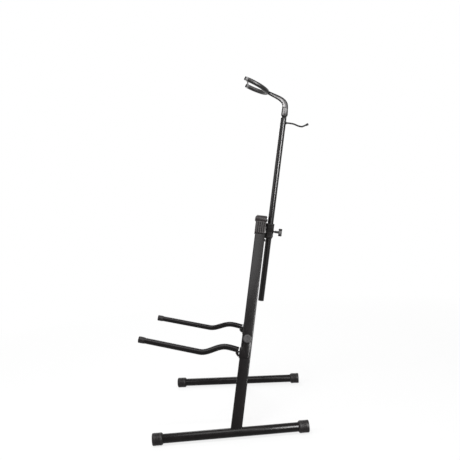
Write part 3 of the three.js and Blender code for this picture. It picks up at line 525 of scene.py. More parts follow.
zincPlate = makeMetal("zincPlate", (0.30, 0.30, 0.31), (0.46, 0.46, 0.47), 0.26, 1500, (1, 1, 0.2), 0.15)
blackSteel = makeMetal(
    "blackenedSteel", (0.016, 0.015, 0.0155), (0.036, 0.034, 0.035), 0.3, 1300, metallic=0.5, shine=0.35)
print("materials made")

# feet

footTube = {"radius": 14.25, "wall": 1.6, "front": 258, "rear": 227, "end": 6.3}
footCap = {"radius": 19, "length": 33, "end": 6, "round": 5.6, "lip": 2.6, "groove": 1.1, "dish": 0.8}
welds = {"radius": 1.7, "ripple": 0.35, "pitch": 2.6, "spread": 1.2, "step": 1.1}


def weldBead(loop, radius, ripple, pitch, closed=True):
    # overlapping puddles: the radius swells once every pitch
    radii = []
    along = 0.0
    for i, point in enumerate(loop):
        along += (point - loop[i - 1]).length if i else 0
        wave = abs(math.sin(math.pi * along / pitch))
        jitter = noise.noise(point * 0.35)
        radii.append(radius * (0.86 + 0.14 * wave) + ripple * jitter)
    return sweep(loop, radii, 10, closed)


def resample(loop, step, closed=True):
    made = []
    ends = loop[1:] + loop[:1] if closed else loop[1:]
    for a, b in zip(loop, ends):
        count = max(1, round((b - a).length / step))
        made += [a.lerp(b, k / count) for k in range(count)]
    return made if closed else made + [loop[-1]]


def buildFeet():
    t, c = footTube, footCap
    r, front, rear = t["radius"], t["end"] - t["front"], t["rear"] - t["end"]
    profile = rounded([(r - t["wall"], front), (r, front, 0.4), (r, rear, 0.4), (r - t["wall"], rear)], 2)
    for word, _ in sides:
        place, body = feet[word], "leg_" + word
        addPiece(f"footTube_{word}", lathe(profile, 72, "Y"), place, body, [f"foot_tube_{word}"], satinPaint)
        for end, reach, axis in (("front", -t["front"], "Y"), ("rear", t["rear"], "-Y")):
            cap = moved(lathe(capProfile(c, r), 72, axis), 0, reach, 0)
            addPiece(f"footCap_{end}_{word}", cap, place, body, [f"foot_cap_{end}_{word}"], blackRubber)


def capProfile(c, bore):
    # from the middle of the end face, dished, round the tread and back along the bore
    r, g = c["radius"], c["groove"]
    marks = [c["length"] * share for share in (0.36, 0.5, 0.64)]
    points = [(0, c["dish"]), (r * 0.45, c["dish"], 4), (r * 0.66, 0, 4), (r, 0, c["round"])]
    for mark in marks:
        points += [(r, mark - g, 0.3), (r - g * 0.75, mark - g * 0.35, 0.3)]
        points += [(r - g * 0.75, mark + g * 0.35, 0.3), (r, mark + g, 0.3)]
    points += [(r, c["length"] - c["lip"] * 1.6, 1.6), (bore + 1.5, c["length"], 1.2)]
    points += [(bore + 0.15, c["length"], 0.5), (bore + 0.15, c["end"]), (0, c["end"])]
    return rounded(points, 4, closed=False)


buildFeet()
print("feet made")

# legs

legTube = {"depth": 35, "width": 20, "corner": 3.5, "seam": 56}
legEnd = {
    "depth": 37.1, "proud": 1, "grooves": 4, "pitch": 6.8, "grooveWide": 2.6, "grooveDepth": 1.1,
    "grooveRound": 1.1, "band": 4, "gap": 2.8, "top": 9.5, "rimIn": 1.4, "rimLow": 0.6, "rimHigh": 4,
    "lobe": 13.9, "knuckle": 9.6, "knuckleDepth": 27.2, "stemLow": 19, "stemHigh": 2,
}


def legWeld():
    # the outline of the leg where it meets the foot tube, in the leg's frame
    radius, wide = footTube["radius"], welds["spread"]
    loop = []
    for x, y in boxOutline(legTube["width"] + wide, legTube["depth"] + wide, legTube["corner"], 4):
        rise = math.sqrt(max(radius * radius - x * x, 1))
        z = (rise + y * math.sin(footPitch)) / math.cos(footPitch)
        loop.append(Vector((x, y, z - legLength)))
    return resample(loop, welds["step"])


def buildLegs():
    t, e = legTube, legEnd
    for word, flip in sides:
        body = "leg_" + word
        tube = prism(boxOutline(t["width"], t["depth"], t["corner"]), -legLength, -t["seam"] - 0.05, 0.5)
        bead = weldBead(legWeld(), welds["radius"], welds["ripple"], welds["pitch"])
        addPiece(f"legTube_{word}", joinedMesh(tube, bead), legs[word], body,
                 [f"leg_tube_{word}"], satinPaint, flip=flip)
        piece = addPiece(f"legEnd_{word}", legEndMesh(), legs[word], body,
                         [f"leg_end_{word}"], darkMoulding, flip=flip, second=groovePaintedShade)
        half = (e["grooves"] - 1) / 2 * e["pitch"] + e["grooveWide"]
        outer = t["width"] / 2 + e["proud"]
        low, high = e["band"] - t["seam"] - 1, 1 - e["top"] - e["band"]
        for face in piece.data.polygons:  # the grooves and the gap at the seam get the darker, duller second material as painted shade
            x, y, z = (value / mm for value in face.center)
            sunk = outer - e["grooveDepth"] - 0.2 < abs(x) < outer - 0.12
            groove = sunk and abs(y) < half and low < z < high
            face.material_index = 1 if groove or z < e["gap"] - t["seam"] - 0.3 else 0


def legEndMesh():
    t, e, back = legTube, legEnd, stance["hingeShift"]
    seam, top, face = -t["seam"], -e["top"], t["width"] / 2 + e["proud"]
    outline = boxOutline(t["width"] + e["proud"], e["depth"], t["corner"])
    body = moved(prism(outline, seam + e["gap"], top, 0.9), e["proud"] / 2, back)
    outline = boxOutline(t["width"] - e["rimIn"], t["depth"] - e["rimIn"], t["corner"] - 1)
    rim = prism(outline, seam - e["rimLow"], seam + e["rimHigh"])
    lobe = cylinder(e["lobe"], -40, 40, 64, "Y")
    inner = prism([(-30, -40), (0, -40), (0, 40), (-30, 40)], -e["lobe"], 20)
    grooves = []
    low, high, half, turn = seam + e["band"], top - e["band"], e["grooveWide"] / 2, e["grooveRound"]
    for i in range(e["grooves"]):
        y = (i - (e["grooves"] - 1) / 2) * e["pitch"]
        left, right = y - half, y + half
        corners = [(left, low, turn), (right, low, turn), (right, high, turn), (left, high, turn)]
        corners = rounded(corners, 4)
        grooves.append(("DIFFERENCE", prism(corners, face - e["grooveDepth"], face + 2, 0, 1, outerPlane)))
    shoulders = carved(body, ("UNION", rim), ("DIFFERENCE", lobe), ("DIFFERENCE", inner), *grooves)
    softenEdges(shoulders, 0.35, 2, 40)
    half = e["knuckleDepth"] / 2
    knuckle = spun([(0, -half), (e["knuckle"], -half, 0.8), (e["knuckle"], half, 0.8), (0, half)], 64, "Y")
    stem = prism(boxOutline(2 * e["knuckle"], 2 * half, 0.8, 2), -e["stemLow"], -e["stemHigh"], 0.4)
    return carved(moved(knuckle, 0, back), ("UNION", moved(stem, 0, back)), ("UNION", shoulders))


buildLegs()
print("legs made")

# hinge housing and its fasteners

housing = {"radius": 13.5, "depth": 36.8, "wall": 4.5, "roof": 3.5, "edge": 1.8}
bolt = {"head": 9, "thick": 3.8, "socket": 6, "nut": 12, "nutThick": 3.2, "shank": 4, "tail": 2.4}


def stadium(half, radius, steps=20):
    left = ringOf(radius, steps, (-half, 0), math.pi / 2, math.pi)
    rightSide = ringOf(radius, steps, (half, 0), -math.pi / 2, math.pi)
    return rightSide + left


def hexNut(across, low, high, bore):
    radius = across / math.sqrt(3)
    nut = prism(ringOf(radius, 6), low, high, 0, 1, "Y")
    narrow, wide, stop = radius * 0.93, radius * 1.04, high + 0.2
    line = [(0, low - 1), (narrow, low - 1), (wide, low + 0.7), (wide, high - 0.7), (narrow, stop), (0, stop)]
    stud = cylinder(bore, low - 1, high + 1, 32, "Y")
    made = carved(nut, ("INTERSECT", lathe(line, 48, "Y")), ("DIFFERENCE", stud))
    softenEdges(made, 0.18, 2, 30)
    return made


def boltHead(radius, thick, face, socket):
    # a low round head with a hexagon socket, its face towards the front
    top, crown = face + thick, radius * 0.72
    head = spun([
        (0, face), (radius, face, 0.5), (radius, face + thick * 0.55, 1.2), (crown, top, 1.4), (0, top),
    ], 56, "-Y", 5)
    hole = prism(ringOf(socket / math.sqrt(3), 6), top - 2.0, top + 3, 0, 1, "-Y")
    return carved(head, ("DIFFERENCE", hole))


def buildHub():
    h, b = housing, bolt
    half, deep, inner = stance["hingeHalf"], h["depth"] / 2, h["radius"] - h["roof"]
    body = prism(stadium(half, h["radius"]), -deep, deep, h["edge"], 5, facePlane)
    low = -2 * h["radius"]
    reach, rise = half + inner * math.cos(legSpread), inner * math.sin(legSpread)
    wide = reach + (rise - low) * math.tan(legSpread)
    arcRight = ringOf(inner, 12, (half, 0), legSpread, math.pi / 2 - legSpread)
    arcLeft = [Vector((-p.x, p.y)) for p in reversed(arcRight)]
    room = [Vector((-wide, low)), Vector((wide, low))] + arcRight + arcLeft
    recesses = [("DIFFERENCE", prism(room, h["wall"] - deep, deep - h["wall"], 0, 1, facePlane))]
    for side in (-1, 1):
        spot = cylinder(b["head"] + 0.8, deep - 0.5, 40, 56, "-Y")
        recesses.append(("DIFFERENCE", moved(spot, side * half)))
    shell = carved(body, *recesses)
    softenEdges(shell, 0.35, 2, 50)
    addPiece("hingeHousing", shell, hub, "hub", ["hinge_housing"], darkMoulding)
    for word, flip in sides:
        x = -half if flip else half
        head = moved(boltHead(b["head"], b["thick"], deep - 0.2, b["socket"]), x)
        addPiece(f"hingeBolt_{word}", head, hub, "hub", [f"hinge_bolt_{word}"], blackSteel)
        nut = hexNut(b["nut"], deep + 0.1, deep + b["nutThick"], b["shank"] - 0.1)
        stop = deep + b["tail"]
        stud = spun([(0, 10), (b["shank"], 10), (b["shank"], stop, 0.5), (0, stop)], 40, "Y", 3)
        nut = moved(joinedMesh(nut, stud), x)
        addPiece(f"hingeNut_{word}", nut, hub, "hub", [f"hinge_nut_{word}"], blackSteel)


buildHub()
print("hub made")

# neck tube holder: a moulded sleeve with a rib that runs down between the legs

holder = {
    "low": 592, "high": 644, "width": 28, "depth": 27.4, "corner": 6, "collar": 7, "rise": 0.6, "waist": 1.2,
    "bore": 10.3, "rib": 5, "screw": 617, "boss": 7.2, "bossProud": 0.55, "head": 8, "headDepth": 27.2,
    "headTop": 664.7, "headHigh": 7, "slopeIn": 4.5, "slopeUp": 9, "foot": 10, "lip": 0.9, "mouth": 1.4,
    "ribLine": [  # forward and up, with fillets; two windows between the rib and the sleeve
        (6, 576, 1.5), (6, 664.7, 1), (-5, 664.7, 1), (-10, 641.2, 2), (-21.8, 641.2), (-21.8, 633),
        (-10, 629, 2.5), (-10, 612, 2.5), (-21.8, 608), (-21.8, 599), (-14, 599, 2), (-14, 588, 2),
        (-21.3, 588, 1.2), (-21.3, 580, 1.2), (-10, 576, 2),
    ],
}
holderBolt = {"head": 4, "face": 18.5, "end": 20.8, "nut": 6.8, "nutEnd": 20.7, "shank": 2, "tail": 20.3}


def holderMesh():
    h, y0 = holder, stance["neckOffset"]
    low, high, rear = h["low"], h["high"], h["depth"] / 2

    def ring(grow, low, high, edge):
        outline = boxOutline(h["width"] + grow, h["depth"] + grow, h["corner"], 8)
        return moved(prism(outline, low, high, edge), 0, y0)

    body = ring(-h["waist"], low + 0.4, high - 1, 0.4)
    upper = ring(0, (low + high) / 2 - 2, high - 2, 0.8)
    collar = ring(h["rise"], high - h["collar"], high, 1.1)
    foot = ring(0, low, low + h["foot"], 1.2)
    out = rear + h["bossProud"]
    boss = spun([(0, 0), (h["boss"], 0), (h["boss"], out, 0.7), (0, out)], 48, "Y")
    rib = prism(rounded(h["ribLine"], 4), -h["rib"] / 2, h["rib"] / 2, 0.6, 2, sidePlane)
    outline = boxOutline(h["head"], h["headDepth"], 0.8, 2)
    headBox = prism(outline, h["headTop"] - h["headHigh"], h["headTop"], 0.5)
    bore = moved(cylinder(h["bore"], low - 32, high + 36, 64), 0, y0)
    lip, above = high - h["lip"], high + 0.5
    mouth = lathe([(0, lip), (h["bore"], lip), (h["bore"] + h["mouth"], above), (0, above)], 64)
    back = -y0 - rear
    corner = [(back + h["slopeIn"], low - 1), (back - 1, low - 1), (back - 1, low + h["slopeUp"])]
    return carved(
        body, ("UNION", upper), ("UNION", collar), ("UNION", foot),
        ("DIFFERENCE", prism(corner, -20, 20, 0, 1, sidePlane)), ("UNION", moved(boss, 0, y0, h["screw"])),
        ("UNION", rib), ("UNION", moved(headBox, 0, stance["hingeShift"])), ("DIFFERENCE", bore),
        ("DIFFERENCE", moved(mouth, 0, y0)),
    )


def buildHolder():
    h, b = holder, holderBolt
    addPiece("neckTubeHolder", holderMesh(), slope, "hub", ["neck_tube_holder"], blackMoulding)
    face, end, radius = b["face"], b["end"], b["head"]
    head = spun([(0, face), (radius, face, 0.3), (radius, end, 1.2), (0, end)], 40, "Y")
    nut = hexNut(b["nut"], face, b["nutEnd"], b["shank"] - 0.1)
    nut = moved(nut, turn=Matrix.Rotation(math.pi, 4, "Z"))
    shank = cylinder(b["shank"], -b["tail"], face + 0.9, 24, "Y")
    whole = moved(joinedMesh(head, nut, shank), 0, stance["hingeShift"], h["headTop"] - h["headHigh"] / 2)
    addPiece("holderBolt", whole, slope, "hub", ["holder_bolt"], zincPlate)


buildHolder()
print("holder made")

# clamp screw and its T-bar

clampScrew = {
    "thread": 3, "deep": 0.2, "pitch": 0.8, "threadFrom": 14.1, "threadTo": 16.8,
    "line": [  # radius and distance to the rear, with fillets: the point, the shank and the ferrule
        (0, 10.4), (3, 10.4, 0.3), (3, 17, 0.2), (3.6, 17.3, 0.3), (4.3, 19.6, 0.6), (4.5, 23.6, 0.4),
        (4.1, 24.2, 0.3), (4.1, 25.1, 0.3), (4.5, 25.7, 0.4), (4.5, 30.9, 0.5), (0, 30.9),
    ],
}
clampBar = {"front": 31.2, "thick": 12, "wide": 10, "length": 26, "end": 6.5, "round": 2.6}


def buildClamp():
    k, c = clampScrew, clampBar
    line = rounded(k["line"], 3, closed=False)
    half = k["pitch"] / 2
    count = int((k["threadTo"] - k["threadFrom"]) / half) + 1
    ridges = [Vector((k["thread"] - k["deep"] * (i % 2), k["threadFrom"] + half * i)) for i in range(count)]
    line = [q for q in line if q.y < k["threadFrom"] - 1] + ridges + [q for q in line if q.y > k["threadTo"]]
    addPiece("clampScrew", lathe(line, 40, "Y"), clamp, "clamp", ["clamp_screw"], castBlack)
    middle = c["front"] + c["thick"] / 2
    half = c["length"] / 2 - c["end"]
    bar = moved(prism(boxOutline(c["wide"], c["thick"], c["round"]), -half, half, 0.35, 2), 0, middle)
    addPiece("clampBar", bar, clamp, "clamp", ["clamp_bar"], barMoulding)
    for word, turn in (("upper", 0), ("lower", math.pi)):
        outline = boxOutline(c["wide"] + 0.001, c["thick"], c["round"])
        end = prism(outline, half + 0.15, c["length"] / 2, 1.5, 4)
        end = moved(end, 0, middle, turn=Matrix.Rotation(turn, 4, "Y"))
        nodes = [f"clamp_bar_end_{word}"]
        addPiece(f"clampBarEnd_{word}", end, clamp, "clamp", nodes, blackMoulding)


buildClamp()
print("clamp made")

# neck tube, its plug and the tongue

neckTube = {"radius": 10, "wall": 1.6, "low": 374, "high": 1008}
tubePlug = {"lip": 2.5, "deep": 17, "dimple": 5.2, "sunk": 0.4}
tongue = {"pin": 1024.5, "back": 1.3, "thick": 9, "width": 16.6, "radius": 16, "collar": 2.5, "root": 12}


def buildNeck():
    n, k, g = neckTube, tubePlug, tongue
    r, low, high = n["radius"], n["low"], n["high"]
    bore = r - n["wall"]
    tube = rounded([(bore, low, 0.3), (r, low, 0.4), (r, high, 0.4), (bore, high, 0.3)], 3)
    addPiece("neckTube", lathe(tube, 80), neck, "neck", ["neck_tube"], glossPaint)
    under, inside, top, hollow = low - k["lip"], bore - 0.2, low + k["deep"], k["dimple"]
    sunk = under + k["sunk"]
    plug = spun([
        (0, sunk), (hollow - 0.7, sunk, 1), (hollow, under, 1), (r, under, 1.1), (r, low - 0.1, 0.3),
        (inside, low - 0.1), (inside, top), (0, top),
    ], 64)
    addPiece("neckTubePlug", plug, neck, "neck", ["neck_tube_plug"], blackRubber)
    root, cover = high - g["root"], high + g["collar"]
    collar = spun([
        (0, root), (bore - 0.3, root), (bore - 0.3, high), (r, high + 0.1, 0.3), (r, cover, 0.8), (0, cover),
    ], 64)
    half, drop = g["width"] / 2, g["pin"] - high - 1
    start = math.acos(half / g["radius"])
    outline = [Vector((half, -drop))] + ringOf(g["radius"], 14, (0, 0), start, math.pi / 2 - start)
    outline += [Vector((-half, g["radius"])), Vector((-half, -drop))]
    blade = moved(prism(outline, -g["thick"] / 2, g["thick"] / 2, 0.8, 3, sidePlane), 0, g["back"], g["pin"])
    addPiece("foldTongue", carved(collar, ("UNION", blade)), neck, "neck", ["fold_tongue"], castBlack)


buildNeck()
print("neck made")

# hook behind the tube

hookWire = {
    "radius": 2.8, "reach": 83.5, "start": 4, "bush": 4.8, "bushIn": 1.3, "bushLength": 2.2,
    "tip": 4, "tipLength": 9,
    "path": [(0.19, 0.01), (0.43, 0), (0.63, -0.055), (0.77, -0.07), (0.84, -0.048), (1, 0.045)],
}


def smoothPath(points, steps):
    # a Catmull-Rom line through the points, sampled evenly in each span
    line = [points[0] * 2 - points[1]] + points + [points[-1] * 2 - points[-2]]
    made = []
    for i in range(1, len(line) - 2):
        a, b, c, d = line[i - 1], line[i], line[i + 1], line[i + 2]
        for k in range(steps):
            t = k / steps
            curve = (2 * a - 5 * b + 4 * c - d) * t * t + (3 * b - a - 3 * c + d) * t ** 3
            made.append(0.5 * (2 * b + (c - a) * t + curve))
    return made + [points[-1]]


def buildHook():
    h, r, wire = hookWire, neckTube["radius"], hookWire["radius"]
    out, within = r + h["bushLength"], r - h["bushIn"]
    points = [Vector((0, r - h["start"], 0)), Vector((0, out, 0))]
    points += [Vector((0, a * h["reach"], b * h["reach"])) for a, b in h["path"]]
    line = smoothPath(points, 9)
    addPiece("hookWire", sweep(line, wire, 24), hook, "neck", ["bow_hook"], glossPaint)
    bush = rounded([
        (wire, within), (h["bush"], within), (h["bush"], out - 0.1, 1.0), (wire + 0.3, out, 0.4),
        (wire, out),
    ], 4)
    addPiece("hookBush", lathe(bush, 40, "Y"), hook, "neck", ["bow_hook_bush"], blackRubber)
    along = (line[-1] - line[-2]).normalized()
    tip, low, high = h["tip"], h["tip"] - h["tipLength"], h["tip"] - 0.05
    cap = spun([(0, low), (wire + 0.2, low), (tip, low, 0.6), (tip, high, 3.8), (0, high)], 40, steps=8)
    turn = Vector((0, 0, 1)).rotation_difference(along).to_matrix().to_4x4()
    addPiece("hookTip", moved(cap, *line[-1], turn), hook, "neck", ["bow_hook_tip"], blackRubber)


buildHook()
print("hook made")

# gooseneck: a forked casting with an I section

goose = {
    "cheek": 9.2, "forkRadius": 11.3, "shoulder": 25, "thick": 12, "deepLow": 19.9, "deepHigh": 10.3,
    "bend": 23.5, "lead": 0.9, "handleLow": 26, "handleHigh": 38, "rim": 3.6, "pocket": 1.6,
    "slot": 4.8, "slotHigh": 16.3, "slant": 4.5, "cheekRim": 3.2, "well": 5, "wellDeep": 0.9,
    "rivets": [7.4, 13.6], "rivet": 1.7, "rivetProud": 0.5,
    "pin": 2.5, "pinHead": 4.3, "pinThick": 1.5, "pinSocket": 1.6,
}


def bezier(a, b, c, d, t):
    return a * (1 - t) ** 3 + b * 3 * t * (1 - t) ** 2 + c * 3 * t * t * (1 - t) + d * t ** 3


def gooseLine(steps):
    g = goose
    end = Vector((stance["yokeOut"], stance["yokeUp"]))
    pull = end - Vector((math.cos(tilt), math.sin(tilt))) * g["handleHigh"]
    a, b = Vector((g["lead"], g["bend"])), Vector((g["lead"], g["bend"] + g["handleLow"]))
    made = []
    for i in range(steps + 1):
        t = i / steps
        along = (b - a) * (1 - t) ** 2 + (pull - b) * 2 * t * (1 - t) + (end - pull) * t * t
        made.append((bezier(a, b, pull, end, t), along.normalized(), t))
    return made


def gooseOutline(inset, last=1.0):
    g = goose
    outer, inner = [], []
    for point, along, t in gooseLine(40):
        if t > last:
            continue
        half = (g["deepLow"] * (1 - t) + g["deepHigh"] * t) / 2 - inset
        across = Vector((-along.y, along.x)) * half
        outer.append(point + across)
        inner.append(point - across)
    return inner + outer[::-1]


def split(bm, place, normal):
    whole = list(bm.verts) + list(bm.edges) + list(bm.faces)
    bmesh.ops.bisect_plane(bm, geom=whole, plane_co=place, plane_no=normal)


def forkMesh(edges, seam):
    # two cheeks whose shoulder, above the seam, draws in to the web's thickness
    g = goose
    half, cheek = g["deepLow"] / 2, g["cheek"]
    outline = [Vector((g["lead"] + half, g["shoulder"])), Vector((g["lead"] - half, g["shoulder"]))]
    outline += ringOf(g["forkRadius"], 24, (0, 0), math.pi, math.pi)
    fork = prism(outline, -cheek, cheek, 1.1, 3, sidePlane)
    split(fork, (0, 0, seam), (0, 0, 1))
    for vert in fork.verts:
        if vert.co.z > seam + 0.01:
            drawn = (vert.co.z - seam) / g["slant"]
            vert.co.x *= 1 + (g["thick"] / 2 / cheek - 1) * drawn
    for line in edges:  # so that the middle of the shoulder is its own face, apart from the rims that take the painted dark reflection
        split(fork, (0, -line, 0), (0, 1, 0))
    return fork


def buildGooseneck():
    g = goose
    thick, cheek, seam = g["thick"] / 2, g["cheek"], g["shoulder"] - g["slant"]
    web, floor = thick - g["pocket"], cheek - g["wellDeep"]
    edge = g["deepLow"] / 2 - g["cheekRim"]
    left, right = g["lead"] - edge, g["lead"] + edge
    body = prism(gooseOutline(0), -thick, thick, 1.3, 3, sidePlane)
    pockets, wells, rivets, dots = [], [], [], []
    high, low = seam - 0.1, -g["well"]
    for side in (-1, 1):
        outline = gooseOutline(g["rim"], 0.93)
        for point in outline:  # its lower end runs out through the shoulder
            if point.y < g["bend"] + 0.01:
                point.y -= 2
        pocket = prism(outline, web, thick + 3, 0.5, 2, sidePlane)
        pockets.append(("DIFFERENCE", mirrored(pocket) if side > 0 else pocket))
        outline = rounded([(right, high), (left, high), (left, low, 5), (right, low, 5)], 5)
        well = prism(outline, *sorted((side * floor, side * (cheek + 2))), 0, 1, sidePlane)
        wells.append(("DIFFERENCE", well))
    slot = prism(boxOutline(2 * g["slot"], 60, 0.1, 1), -30, g["slotHigh"])
    fork = forkMesh((left, right), seam)
    made = carved(body, *pockets, ("UNION", fork), *wells, ("DIFFERENCE", slot))
    piece = addPiece("gooseneckCasting", made, fold, "yoke", ["gooseneck"], castSilver, second=castRimPaintedShade)
    for face in piece.data.polygons:  # the web and the wells of the fork keep the silver casting colour; every other face gets the near black rim material, a painted dark reflection along the edges
        x, y, z = (value / mm for value in face.center)
        inFork = z < g["shoulder"] + 1 and abs(x) < floor + 0.3 and abs(y + g["lead"]) < edge - 0.4
        face.material_index = 0 if abs(face.normal.x) > 0.6 and (abs(x) < web + 0.3 or inFork) else 1
    outer, head, tall, dotWide = cheek + 0.1, g["pinHead"], g["pinThick"], g["rivet"]
    for side in (-1, 1):
        turn = Matrix.Rotation(side * math.pi / 2, 4, "Y")
        cap = spun([(0, 0), (head, 0, 0.2), (head, tall * 0.5, 0.6), (head * 0.6, tall, 0.8), (0, tall)], 40)
        cap = carved(cap, ("DIFFERENCE", prism(ringOf(g["pinSocket"], 6), tall - 0.7, tall + 1)))
        rivets.append(moved(cap, side * outer, turn=turn))
        for rise in g["rivets"]:
            dot = spun([(0, -1), (dotWide, -1), (dotWide, 0.35, 0.4), (0, g["rivetProud"])], 24, steps=3)
            dots.append(moved(dot, side * floor, -g["lead"], rise, turn))
    pin = joinedMesh(cylinder(g["pin"], -outer, outer, 32, "X"), *rivets)
    addPiece("foldPin", pin, fold, "yoke", ["fold_pin"], blackSteel)
    addPiece("gooseneckRivets", joinedMesh(*dots), fold, "yoke", [], castBlack)


buildGooseneck()
print("gooseneck made")

# yoke: a U of rod in rubber, with a strap across its tips

prong = {
    "half": 64, "corner": 63, "length": 84, "rod": 4, "rodIn": 2.6, "sleeve": 7.5, "sleeveEnd": 71,
    "gap": 0.3, "ring": 7.5, "ringLength": 6, "band": 58, "bandThick": 3.2, "bandWide": 5.4,
    "button": 6.5, "buttonLength": 5.2,
}


def yokeLine(length, steps=16):
    half, corner = prong["half"], prong["corner"]
    points = [Vector((-half, -length, 0))]
    points += [Vector((-half, -corner - (length - corner) * (1 - k / 8), 0)) for k in range(1, 8)]
    for k in range(steps + 1):
        a = math.pi / 2 * k / steps
        points.append(Vector((-half + corner * (1 - math.cos(a)), -corner * (1 - math.sin(a)), 0)))
    mirror = [Vector((-q.x, q.y, q.z)) for q in reversed(points)]
    middle = [points[-1].lerp(mirror[0], k / 6) for k in range(1, 6)]
    return points + middle + mirror


def strapBand(y):
    # a flat band from ring to ring, a little thicker at its ends
    p = prong
    bm = bmesh.new()
    rings = []
    for k in range(15):
        across = k / 7 - 1
        swell = 1 + 0.35 * abs(across) ** 8
        outline = boxOutline(p["bandWide"], p["bandThick"], 1.2, 4)
        rings.append([bm.verts.new((p["band"] * across, y + q.x, q.y * swell)) for q in outline])
    return skinned(bm, rings)


def buildYoke():
    p = prong
    line = yokeLine(p["sleeveEnd"])
    ends = ((0.86, 0.0), (0.95, 0.5), (0.99, 1.3))  # share of the radius, distance from the end
    first = [line[0] + (line[1] - line[0]).normalized() * e for _, e in ends]
    last = [line[-1] + (line[-2] - line[-1]).normalized() * e for _, e in reversed(ends)]
    swell = [share for share, _ in ends]
    radii = [p["sleeve"] * share for share in swell + [1] * (len(line) - 2) + swell[::-1]]
    sleeve = sweep(first + line[1:-1] + last, radii, 36)
    addPiece("yokeSleeve", sleeve, yoke, "yoke", ["yoke_sleeve"], sleeveRubber)
    rod = sweep(yokeLine(p["length"] - p["rodIn"]), p["rod"], 24)
    addPiece("yokeRod", rod, yoke, "yoke", ["yoke_rod"], zincPlate)
    start = p["sleeveEnd"] + p["gap"]
    end, bore = start + p["ringLength"], p["rod"] + 0.1
    rings = []
    for side in (-1, 1):
        ring = rounded([(bore, start), (p["ring"], start, 1.1), (p["ring"], end, 1.1), (bore, end, 0.4)], 4)
        rings.append(moved(lathe(ring, 48, "-Y"), side * p["half"]))
    strap = joinedMesh(strapBand(-(start + end) / 2), *rings)
    addPiece("neckStrap", strap, yoke, "yoke", ["neck_strap"], paleRubber)
    low, high, wide = p["length"] - p["buttonLength"], p["length"], p["button"]
    for word, flip in sides:
        button = spun([
            (0, low), (wide - 0.6, low, 0.3), (wide, low + 0.7, 0.4), (wide, high, 1.9),
            (wide * 0.4, high, 1), (wide * 0.3, high - 0.5, 0.5), (0, high - 0.5),
        ], 48, "-Y", 5)
        button = moved(button, -p["half"] if flip else p["half"])
        addPiece(f"tipButton_{word}", button, yoke, "yoke", [f"tip_button_{word}"], blackRubber)


buildYoke()
print("yoke made")

# rest arms

arm = {
    "radius": 9.5, "reach": 349, "rootReach": 23.7, "rootDrop": 36.5, "crestReach": 64, "crestDrop": 31.4,
    "troughReach": 148, "troughDrop": 58.6, "rise": 3.9, "bendShare": 0.36,
    "tubeIn": 3.3, "cap": 10.7, "capLength": 16, "collar": 10.2, "collarLength": 5,
}
armSeam = {"bead": 1.5, "ripple": 0.3, "pitch": 2.4, "angle": 38, "step": 1}
armBolt = {"head": 7.5, "crown": 5.2, "thick": 2.3, "socket": 2.9, "shank": 4, "past": 5}
bracket = {
    "sheet": 2.5, "half": 12.9, "front": 20.4, "rear": 13, "top": 17, "low": 61, "corner": 5,
    "lobe": 12, "bend": 4, "seatWide": 15, "seatReach": 11.5, "seatTop": 40, "seatIn": 1.2, "nose": 8.5,
    "slotDeep": 1.6, "slotLow": 1.5, "slotHigh": 3.5,
}
knob = {"radius": 13.5, "base": 13.2, "thick": 9, "ring": 6.6, "ringWide": 1.1, "ringDeep": 0.9}


def armLine():
    a = arm
    slopeUp = math.tan(math.radians(a["rise"]))

    def at(reach, drop):
        return Vector((0, -reach, -drop))

    bend = (a["troughReach"] - a["crestReach"]) * a["bendShare"]
    root = (a["crestReach"] - a["rootReach"]) * a["bendShare"]
    start, crest = at(a["rootReach"], a["rootDrop"]), at(a["crestReach"], a["crestDrop"])
    pull = at(a["crestReach"] - root, a["crestDrop"])
    trough = at(a["troughReach"], a["troughDrop"])
    down = at(a["crestReach"] + bend, a["crestDrop"])
    level = at(a["troughReach"] - bend, a["troughDrop"] + bend * slopeUp)
    tip = a["reach"] - a["tubeIn"]
    end = at(tip, a["troughDrop"] - (tip - a["troughReach"]) * slopeUp)
    line = []
    for k in range(10):
        t = k / 10
        line.append(start * (1 - t) ** 2 + pull * 2 * t * (1 - t) + crest * t * t)
    for k in range(26):
        t = k / 26
        line.append(bezier(crest, down, level, trough, t))
    return line + [trough.lerp(end, k / 8) for k in range(9)]


def bracketMesh():
    b = bracket
    w, front, rear, nose = b["half"], b["front"], b["rear"], b["nose"]
    low, bend, top = -b["low"], b["bend"], -b["seatTop"]
    inner, deep = w - b["sheet"], front - b["sheet"]
    channel = rounded([
        (w, rear), (w, -front, bend), (-w, -front, bend), (-w, rear), (-inner, rear),
        (-inner, -deep, bend - b["sheet"]), (inner, -deep, bend - b["sheet"]), (inner, rear),
    ], 6)
    folded = prism(channel, low - 5, b["lobe"] + 5)
    side = rounded([(-rear, low, 2.5), (front, low, 0.5), (front, -b["top"], b["corner"])], 6)
    side += ringOf(b["lobe"], 30, (0, 0), math.radians(-40), math.radians(240))
    plate = prism(side + [Vector((-rear, -b["top"]))], -30, 30, 0, 1, sidePlane)
    made = carved(folded, ("INTERSECT", plate))
    softenEdges(made, 0.45, 2, 40)
    reach, back = front + b["seatReach"], front - b["seatIn"]
    seat = rounded([
        (back, low + nose / 2, 0.5), (front + nose / 2, low + nose / 2, 2.5),
        (reach, low + 1.5 * nose, 2.5), (reach, top, 1), (back, top, 0.5),
    ], 4)
    seatMesh = prism(seat, -b["seatWide"] / 2, b["seatWide"] / 2, 0.7, 3, sidePlane)
    bed = sweep(armLine(), arm["radius"] + 0.15, 40)
    slotLow, slotHigh, end = low + nose + b["slotLow"], top - b["slotHigh"], front + b["slotDeep"]
    slot = [(front, slotLow), (end, slotLow), (end, slotHigh), (front, slotHigh)]
    seatMesh = carved(seatMesh, ("DIFFERENCE", prism(slot, -20, 20, 0, 1, sidePlane)))
    return carved(made, ("UNION", seatMesh), ("DIFFERENCE", bed))


